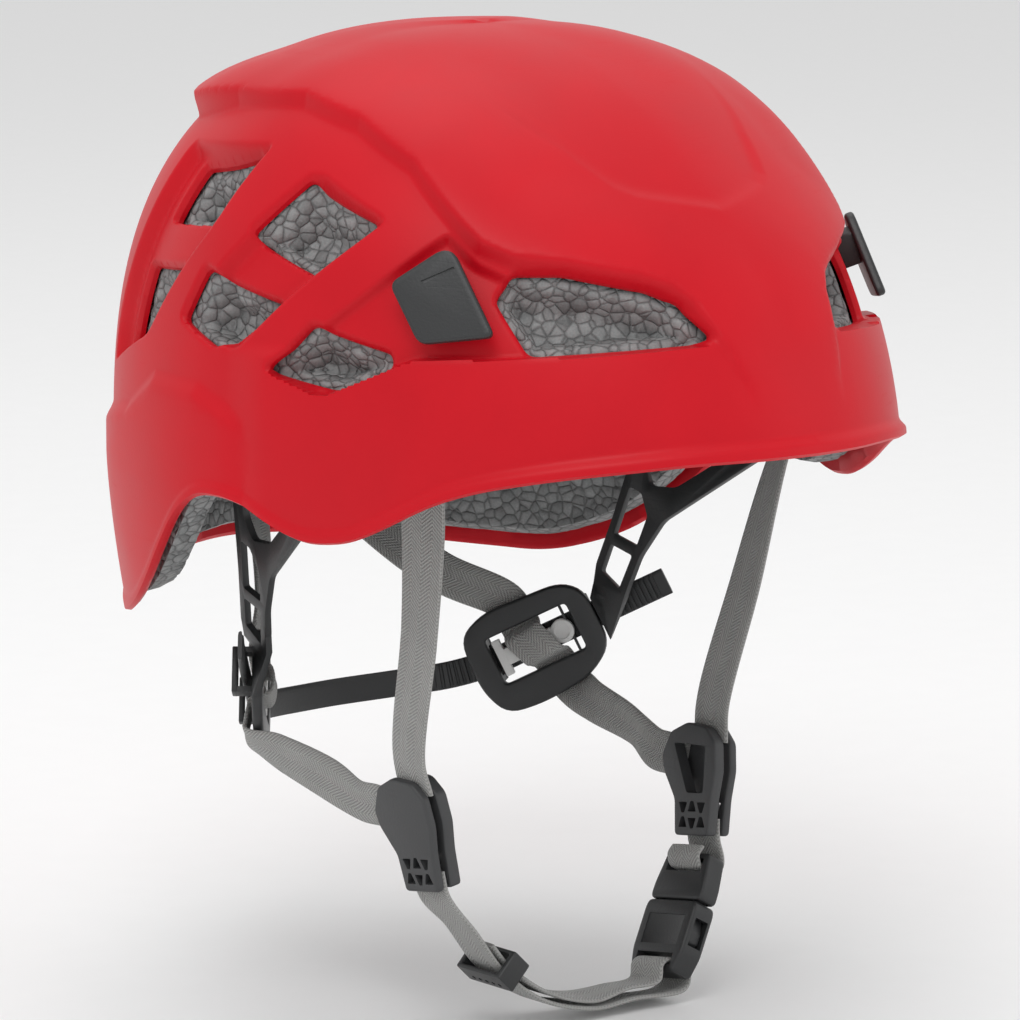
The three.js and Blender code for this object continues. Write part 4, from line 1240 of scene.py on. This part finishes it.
def front_route():
    divider = divider_frame()
    return [((77.5, -54.5, 33), (0.6, 0.8, 0)), ((76, -53.5, 20), (0.55, 0.83, 0)), ((71, -50, 2), (0.35, 0.93, 0)),
            ((66, -42, -35), (0.1, 1, 0)), (spot(divider, -3, 24, 0), (0, 1, 0)),
            (spot(divider, -3, 12, 0), DIVIDER_REAR)]


def rear_route():
    plate = plate_frame()
    divider = divider_frame()
    across = way(plate, 1, -0.06, 0)
    upright = tuple(Vector(DIVIDER_UP) - 0.25 * Vector(DIVIDER_REAR))
    loop = ((-4.6, -16.5, 3), (-4, -10, 3.5), (-3.6, -6.6, 2.7), (-3.2, -5.6, 0), (-2.8, -4.6, -2.9), (-1, 0, -3.9),
            (0.4, 4, -2.9), (0.8, 5.5, 0), (1.2, 6.7, 2.7), (1.8, 9.6, 3.5), (3, 17, 3.8))
    route = [((11, 120.5, 18), (1, 0, 0)), ((11.5, 120, 4), (1, 0, 0)), ((14, 112, -12), (0.95, -0.2, 0.2)),
             ((24, 93, -30), (0.8, -0.3, 0.5)), ((37, 75, -45), (0.7, -0.5, 0.5))]
    route += [(spot(plate, *p), across) for p in loop]
    route += [((64, 29.5, -84.5), (0.2, -0.24, 0.95)), ((62.5, 8, -89), (-0.05, 0.15, 1)),
              (spot(divider, 25, 10, 0.6), upright), (spot(divider, 17, 8.5, 0), upright),
              (spot(divider, 9, 6.5, 0), upright)]
    return route


def make_side_straps():
    for side, sign in SIDES.items():
        front = front_route() if sign > 0 else mirrored_stations(front_route())
        piece = strap(f"front_strap_{side}", front, WEB_WIDTH, 1.4, 90)
        finish_piece(piece, "webbing", "helmet", [f"front_strap_{side}"], smooth=60)
        rear = rear_route() if sign > 0 else mirrored_stations(rear_route())
        waist = 10.3 / (len(rear) - 1)
        upper = strap(f"rear_strap_upper_{side}", rear, WEB_WIDTH - 1.5, 1.4, 300, end=waist)
        finish_piece(upper, "webbing", None, [f"rear_strap_{side}"], smooth=60)
        tuple(Vector(rear[5][0]) * MM)
        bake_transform(upper)
        lower = strap(f"rear_strap_lower_{side}", rear, WEB_WIDTH - 1.5, 1.4, 300, start=waist)
        finish_piece(lower, "webbing", None, [f"rear_strap_{side}"], smooth=60)
        tuple(Vector(rear[15][0]) * MM)
        tuple(Vector(rear[18][0]) * MM)
        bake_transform(lower)


def make_anchors():
    front = drawing_frame((77.1, -54.2, 28), (0.58, 0.81, 0), (0.1, 0, 1))
    disc = soften(rod(0, 0, -4, -1.4, 4.5), 0.5, 3)
    set_in_place(disc, front, "strap_anchor_front_left")
    both_sides(disc, "steel", "helmet", ["strap_anchor_front_{side}"])
    rear = drawing_frame((11, 120.2, 12), (1, 0, 0), (0, 0, 1))
    plate = soften(slab(((-8, -4), (8, -4), (8, 4), (-8, 4)), 1.05, 3.05, 1.5), 0.4)
    set_in_place(plate, rear, "strap_anchor_rear_left")
    both_sides(plate, "steel", "helmet", ["strap_anchor_rear_{side}"])


def make_dividers():
    def drills():
        for row in (0, 1):
            for k in (-1, 0, 1):
                a, b, up = k * 4.3 - 0.3, -8.4 - row * 5, 1 if (k + row) % 2 == 0 else -1
                foot, tip = b - 1.5 * up, b + 1.9 * up
                yield slab([(a - 2, foot), (a + 2, foot), (a + 0.7, tip), (a - 0.7, tip)], -12, 12, 0.4)

    place = divider_frame()
    base = soften(slab(DIVIDER_OUTLINE, -5.4, -1.2, 1.5), 0.7, 3)
    combine(base, [slab(DIVIDER_OPENING, -9, 0, 1), *drills()], "DIFFERENCE")
    set_in_place(base, place, "divider_base_left")
    both_sides(base, "grey", "helmet", ["divider_base_{side}"])
    cover = soften(slab(DIVIDER_OUTLINE, 1.2, 4.2, 1.5), 0.9, 3)
    combine(cover, list(drills()), "DIFFERENCE")
    set_in_place(cover, place, "divider_cover_left")
    both_sides(cover, "grey", "helmet", ["divider_cover_{side}"])


def make_buckle():
    place = buckle_frame()
    w, t = BUCKLE_HALF, BUCKLE_DEEP
    shoulders = ((-w, 1.2), (w, 1.2), (w, 6), (w - 2, 17), (-w + 2, 17), (-w, 6))
    male = soften(slab(shoulders, -t + 0.8, t - 0.8, 2), 1.0, 3)
    slots = [bar(-8.2, 8.2, 10.6, 15, -9, 9)]
    slots += [bar(s * 7.9 - 2.6, s * 7.9 + 2.6, -1, 6.6, -2.9, 2.9) for s in (-1, 1)]
    combine(male, slots, "DIFFERENCE")
    combine(male, [bar(-1, 1, -4, 1.6, -1.6, 1.6)], "UNION")
    finish_piece(set_in_place(male, place, "buckle_male"), "black", "helmet", ["buckle_male"])
    prong = ((7.2, 6), (9.2, 6), (9.1, -3.6), (10.9, -8.6), (10.9, -12), (9.2, -14.2), (7.8, -14.6), (7.1, -8),
             (7, -2))
    for name, side in (("front", -1), ("rear", 1)):
        outline = prong if side > 0 else [(-u, v) for u, v in prong[::-1]]
        piece = soften(slab(outline, -2.2, 2.2, 0.5), 0.4)
        finish_piece(set_in_place(piece, place, f"prong_{name}"), "black", f"prong_{name}_body", [f"prong_{name}"])
    box = ((-w + 1, 0.8), (w - 1, 0.8), (w, -1.5), (w, -16), (w - 2, -23), (-w + 2, -23), (-w, -16), (-w, -1.5))
    female = soften(slab(box, -t, t, 1.5), 1.3, 4)
    cuts = [bar(-9.8, 9.8, -15.6, 2, -2.7, 2.7), bar(-8.4, 8.4, -20.8, -17, -9, 9)]
    cuts += [bar(s * 11 - 2.6, s * 11 + 2.6, -13.6, -4.4, -2.7, 2.7) for s in (-1, 1)]
    cuts += [soften(bar(-8.5, 8.5, -14.2, -4.2, s * t - 0.35, s * t + 0.35), 0.2) for s in (-1, 1)]
    combine(female, cuts, "DIFFERENCE")
    finish_piece(set_in_place(female, place, "buckle_female"), "black", "buckle_socket", ["buckle_female"])


def make_chin_straps():
    buckle = buckle_frame()
    divider = divider_frame()
    across = way(buckle, 1, 0, 0)
    back = (0, 1, 0)
    short = [(spot(divider, 0, -12, 0), DIVIDER_REAR), (spot(divider, 0, -18.5, 0.4), DIVIDER_REAR)]
    loop = ((18.4, 4.6), (15.4, 5.4), (12.9, 3.4), (12.6, 0), (12.9, -3.4), (15.6, -5.4), (18.8, -4.6))
    short += [(spot(buckle, 0, v, n), across) for v, n in loop]
    finish_piece(strap("buckle_strap", short, WEB_WIDTH, 1.4, 120), "webbing", "helmet", ["buckle_strap"], smooth=60)
    chin = [(mirror_x(spot(divider, 0, -12, 0)), DIVIDER_REAR), (mirror_x(spot(divider, 0, -20, -0.2)), DIVIDER_REAR),
            ((-47, -38, -130), back), ((-35, -38, -145), back), ((-19, -38.5, -156.5), back), ((0, -39, -162), back),
            ((17, -40, -162.4), across)]
    chin += [(spot(buckle, 0, v, n), across) for v, n in ((-25.5, 5.8), (-21.5, 6.2), (-19.2, 4), (-18.9, 0),
                                                        (-19.2, -4), (-21.6, -6), (-26.5, -5.2))]
    chin += [((14, -39.8, -158.6), across), ((0, -39, -159.6), back), ((-18, -38.5, -154), back),
             ((-33.3, -38, -143.3), back), ((-40, -38, -135.6), back)]
    piece = finish_piece(strap("chin_strap", chin, WEB_WIDTH, 1.4, 360), "webbing", None, ["chin_strap"], smooth=60)
    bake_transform(piece)


def make_keeper():
    place = drawing_frame((-34.2, -38, -144.1), (0, 1, 0), (0.72, 0, -0.69))
    keeper = slab(((-10.5, -4), (10.5, -4), (10.5, 4), (-10.5, 4)), -5, 5, 1)
    combine(keeper, [bar(-8.4, 8.4, -9, 9, -3.5, 3.5)], "DIFFERENCE")
    soften(keeper, 0.5, 3)
    combine(keeper, [rod(k * 3.1, 1.4, -9, 9, 0.75, 12) for k in range(-2, 3)], "DIFFERENCE")
    finish_piece(set_in_place(keeper, place, "strap_keeper"), "black", "keeper", ["strap_keeper"])


PAD_GRID = (84, 30)
PAD_THICK = 5.0
PAD_CHANNEL = 2.2
PAD_EDGE = 0.06


def pad_patch(name, depth, span, rows):
    """A crowned pad of cloth over the foam's inner face, sewn down round its edge and along one channel."""
    across, up = PAD_GRID
    points = []
    for face in (1, 0):
        for j in range(up + 1):
            for i in range(across + 1):
                s, r = i / across, j / up
                crown = (1 - (2 * s - 1) ** 8) * (1 - (2 * r - 1) ** 4)
                seam = 1 - 0.55 * math.exp(-(abs(s - 0.5) * (span[1] - span[0]) / PAD_CHANNEL) ** 2)
                level = PAD_THICK * (0.5 + (face - 0.5) * max(PAD_EDGE, crown * (seam if face else 1)))
                angle = span[0] + (span[1] - span[0]) * s
                lat = rows[0] + (rows[1] - rows[0]) * r
                from_front = abs((angle + 180) % 360 - 180)
                base = foam_inner(np.array([[from_front * SCALE_ACROSS, lat * SCALE_UP]]))[0]
                points.append(skin(angle, lat, base - depth - level))
    layer = (across + 1) * (up + 1)
    faces = []
    for j in range(up):
        for i in range(across):
            a = j * (across + 1) + i
            faces.append((a, a + 1, a + across + 2, a + across + 1))
            faces.append((layer + a, layer + a + across + 1, layer + a + across + 2, layer + a + 1))
    rim = list(range(across)) + [j * (across + 1) + across for j in range(up)]
    rim += [up * (across + 1) + across - i for i in range(across)] + [(up - j) * (across + 1) for j in range(up)]
    for a, b in zip(rim, rim[1:] + rim[:1]):
        faces.append((a, layer + a, layer + b, b))
    mesh = bpy.data.meshes.new(name)
    mesh.from_pydata((np.array(points) * MM).tolist(), [], faces)
    obj = bpy.data.objects.new(name, mesh)
    bpy.context.collection.objects.link(obj)
    face_out(obj)
    return obj


def make_pads():
    for name, depth, span, rows in (("forehead_pad", 1.0, (-42, 42), (8, 16)),
                                    ("crown_pad_front", 1.0, (-25, 25), (58, 74)),
                                    ("crown_pad_rear", 1.0, (155, 205), (58, 74))):
        pad = pad_patch(name, depth, span, rows)
        finish_piece(pad, "pad", "helmet", [name], smooth=60)


# ---------------------------------------------------------------- stage
FLOOR_SIZE = 60
FLOOR_CLEARANCE = 0.0008
LOOK_AT = (0, -0.005, -0.010)
SENSOR = 36
ROOM_LIGHT = 0.75
LIGHTS = {  # place, size and watts
    "key_light": ((-1.3, -0.9, 1.9), (1.2, 1.2), 17),
    "fill_light": ((1.2, -2.0, 0.9), (1.6, 1.2), 5),
    "top_light": ((0.2, 0.6, 2.2), (1.6, 1.6), 12),
}


def area_light(name, place, size, watts):
    bpy.ops.object.light_add(type="AREA", location=place)
    lamp = bpy.context.object
    lamp.name = name
    lamp.rotation_euler = (-Vector(place)).to_track_quat("-Z", "Y").to_euler()
    lamp.data.shape = "RECTANGLE"
    lamp.data.size, lamp.data.size_y = size
    lamp.data.energy = watts


def floor_material():
    made, tree, shader = material("pale_floor")
    where = node(tree, "ShaderNodeTexCoord").outputs["Object"]
    paper = node(tree, "ShaderNodeTexNoise")
    paper.inputs["Scale"].default_value = 60
    tree.links.new(where, paper.inputs["Vector"])
    tone = math_node(tree, "MULTIPLY_ADD", paper.outputs["Fac"], 0.02, 0.98)
    tree.links.new(tinted(tree, (0.9, 0.9, 0.9), tone), shader.inputs["Base Color"])
    shader.inputs["Roughness"].default_value = 0.9
    return made


def make_stage(stage):
    bpy.ops.mesh.primitive_plane_add(size=FLOOR_SIZE)
    floor = bpy.context.object
    floor.data.transform(Matrix.Translation((0, 0, CAD_BOX[0][2] - FLOOR_CLEARANCE)))
    floor.name = "floor"
    floor.data.materials.append(floor_material())
    target = Vector(LOOK_AT)
    level = math.cos(stage.height)
    away = Vector((math.sin(stage.turn) * level, -math.cos(stage.turn) * level, math.sin(stage.height)))
    camera = bpy.data.cameras.new("camera")
    camera.lens = stage.lens
    camera.sensor_width = SENSOR
    seat = bpy.data.objects.new("camera", camera)
    bpy.context.collection.objects.link(seat)
    seat.location = target + away * stage.distance
    seat.rotation_euler = (-away).to_track_quat("-Z", "Y").to_euler()
    bpy.context.scene.camera = seat
    world = bpy.data.worlds.new("soft_room")
    world.use_nodes = True
    world.node_tree.nodes["Background"].inputs[0].default_value = (1, 1, 1, 1)
    world.node_tree.nodes["Background"].inputs[1].default_value = ROOM_LIGHT
    scene = bpy.context.scene
    scene.world = world
    scene.view_settings.view_transform = "Standard"
    for name, (place, size, watts) in LIGHTS.items():
        area_light(name, place, size, watts)


# ---------------------------------------------------------------- operators
class HELMET_OT_finishes(bpy.types.Operator):
    """Node materials of every finish on the helmet"""

    bl_idname = "helmet.finishes"
    bl_label = "Finishes"
    bl_options = {"REGISTER", "UNDO"}

    def execute(self, context):
        make_finishes(context.scene.helmet_finish)
        return {"FINISHED"}


class HELMET_OT_shell(bpy.types.Operator):
    """Moulded outer shell with its hood, sunk fields and vents"""

    bl_idname = "helmet.shell"
    bl_label = "Shell"
    bl_options = {"REGISTER", "UNDO"}

    def execute(self, context):
        finish_piece(build_shell(context.scene.helmet_shell), "shell", "helmet", ["outer_shell"], smooth=50)
        return {"FINISHED"}


class HELMET_OT_foam(bpy.types.Operator):
    """Bead foam lining inside the shell"""

    bl_idname = "helmet.foam"
    bl_label = "Foam lining"
    bl_options = {"REGISTER", "UNDO"}

    def execute(self, context):
        finish_piece(build_foam(context.scene.helmet_shell), "foam", "helmet", ["rim_liner", "crown_liner"], smooth=60)
        return {"FINISHED"}


class HELMET_OT_pads(bpy.types.Operator):
    """Cloth pads at the forehead and crown"""

    bl_idname = "helmet.pads"
    bl_label = "Pads"
    bl_options = {"REGISTER", "UNDO"}

    def execute(self, context):
        make_pads()
        return {"FINISHED"}


class HELMET_OT_hooks(bpy.types.Operator):
    """Headlamp hooks on both sides of the shell"""

    bl_idname = "helmet.hooks"
    bl_label = "Lamp hooks"
    bl_options = {"REGISTER", "UNDO"}

    def execute(self, context):
        make_hooks()
        return {"FINISHED"}


class HELMET_OT_elastic(bpy.types.Operator):
    """Elastic loop and its hook at the back of the shell"""

    bl_idname = "helmet.elastic"
    bl_label = "Rear elastic"
    bl_options = {"REGISTER", "UNDO"}

    def execute(self, context):
        make_elastic()
        return {"FINISHED"}


class HELMET_OT_arms(bpy.types.Operator):
    """Lattice arms that hang the headband, with their studs"""

    bl_idname = "helmet.arms"
    bl_label = "Headband arms"
    bl_options = {"REGISTER", "UNDO"}

    def execute(self, context):
        make_arms()
        return {"FINISHED"}


class HELMET_OT_plates(bpy.types.Operator):
    """Adjuster plates with their white locks"""

    bl_idname = "helmet.plates"
    bl_label = "Adjuster plates"
    bl_options = {"REGISTER", "UNDO"}

    def execute(self, context):
        make_plates()
        return {"FINISHED"}


class HELMET_OT_band(bpy.types.Operator):
    """Toothed band round the nape"""

    bl_idname = "helmet.band"
    bl_label = "Nape band"
    bl_options = {"REGISTER", "UNDO"}

    def execute(self, context):
        make_band()
        return {"FINISHED"}


class HELMET_OT_side_straps(bpy.types.Operator):
    """Front and rear webbing of both sides"""

    bl_idname = "helmet.side_straps"
    bl_label = "Side straps"
    bl_options = {"REGISTER", "UNDO"}

    def execute(self, context):
        make_side_straps()
        make_anchors()
        return {"FINISHED"}


class HELMET_OT_dividers(bpy.types.Operator):
    """Strap dividers below both ears"""

    bl_idname = "helmet.dividers"
    bl_label = "Strap dividers"
    bl_options = {"REGISTER", "UNDO"}

    def execute(self, context):
        make_dividers()
        return {"FINISHED"}


class HELMET_OT_buckle(bpy.types.Operator):
    """Side-release buckle: plug, prongs and socket"""

    bl_idname = "helmet.buckle"
    bl_label = "Buckle"
    bl_options = {"REGISTER", "UNDO"}

    def execute(self, context):
        make_buckle()
        return {"FINISHED"}


class HELMET_OT_chin_straps(bpy.types.Operator):
    """Chin webbing and its keeper"""

    bl_idname = "helmet.chin_straps"
    bl_label = "Chin straps"
    bl_options = {"REGISTER", "UNDO"}

    def execute(self, context):
        make_chin_straps()
        make_keeper()
        return {"FINISHED"}


class HELMET_OT_stage(bpy.types.Operator):
    """Pale floor, soft lights and the camera"""

    bl_idname = "helmet.stage"
    bl_label = "Stage"
    bl_options = {"REGISTER", "UNDO"}

    def execute(self, context):
        make_stage(context.scene.helmet_stage)
        return {"FINISHED"}


OPERATORS = (HELMET_OT_finishes, HELMET_OT_shell, HELMET_OT_foam, HELMET_OT_pads, HELMET_OT_hooks, HELMET_OT_elastic,
             HELMET_OT_arms, HELMET_OT_plates, HELMET_OT_band, HELMET_OT_side_straps, HELMET_OT_dividers,
             HELMET_OT_buckle, HELMET_OT_chin_straps, HELMET_OT_stage)


class HELMET_PT_panel(bpy.types.Panel):
    """Lists the helmet's pieces in the order in which they are made"""

    bl_idname = "HELMET_PT_panel"
    bl_label = "Climbing helmet"
    bl_space_type = "VIEW_3D"
    bl_region_type = "UI"
    bl_category = "Helmet"

    def draw(self, context):
        for settings in SETTINGS:
            group = getattr(context.scene, settings)
            for name in group.bl_rna.properties.keys():
                if name not in {"rna_type", "name"}:
                    self.layout.prop(group, name)
        for operator in OPERATORS:
            self.layout.operator(operator.bl_idname)


SETTINGS = {"helmet_shell": HelmetShellSettings, "helmet_finish": HelmetFinishSettings,
            "helmet_stage": HelmetStageSettings}
CLASSES = (*SETTINGS.values(), *OPERATORS, HELMET_PT_panel)


def register():
    for one in CLASSES:
        bpy.utils.register_class(one)
    for name, kind in SETTINGS.items():
        setattr(bpy.types.Scene, name, bpy.props.PointerProperty(type=kind))


def unregister():
    for name in SETTINGS:
        delattr(bpy.types.Scene, name)
    for one in reversed(CLASSES):
        bpy.utils.unregister_class(one)


def main():
    register()
    bpy.ops.object.select_all(action="DESELECT")
    for operator in OPERATORS:
        group, name = operator.bl_idname.split(".")
        getattr(getattr(bpy.ops, group), name)()


if __name__ == "__main__":
    main()
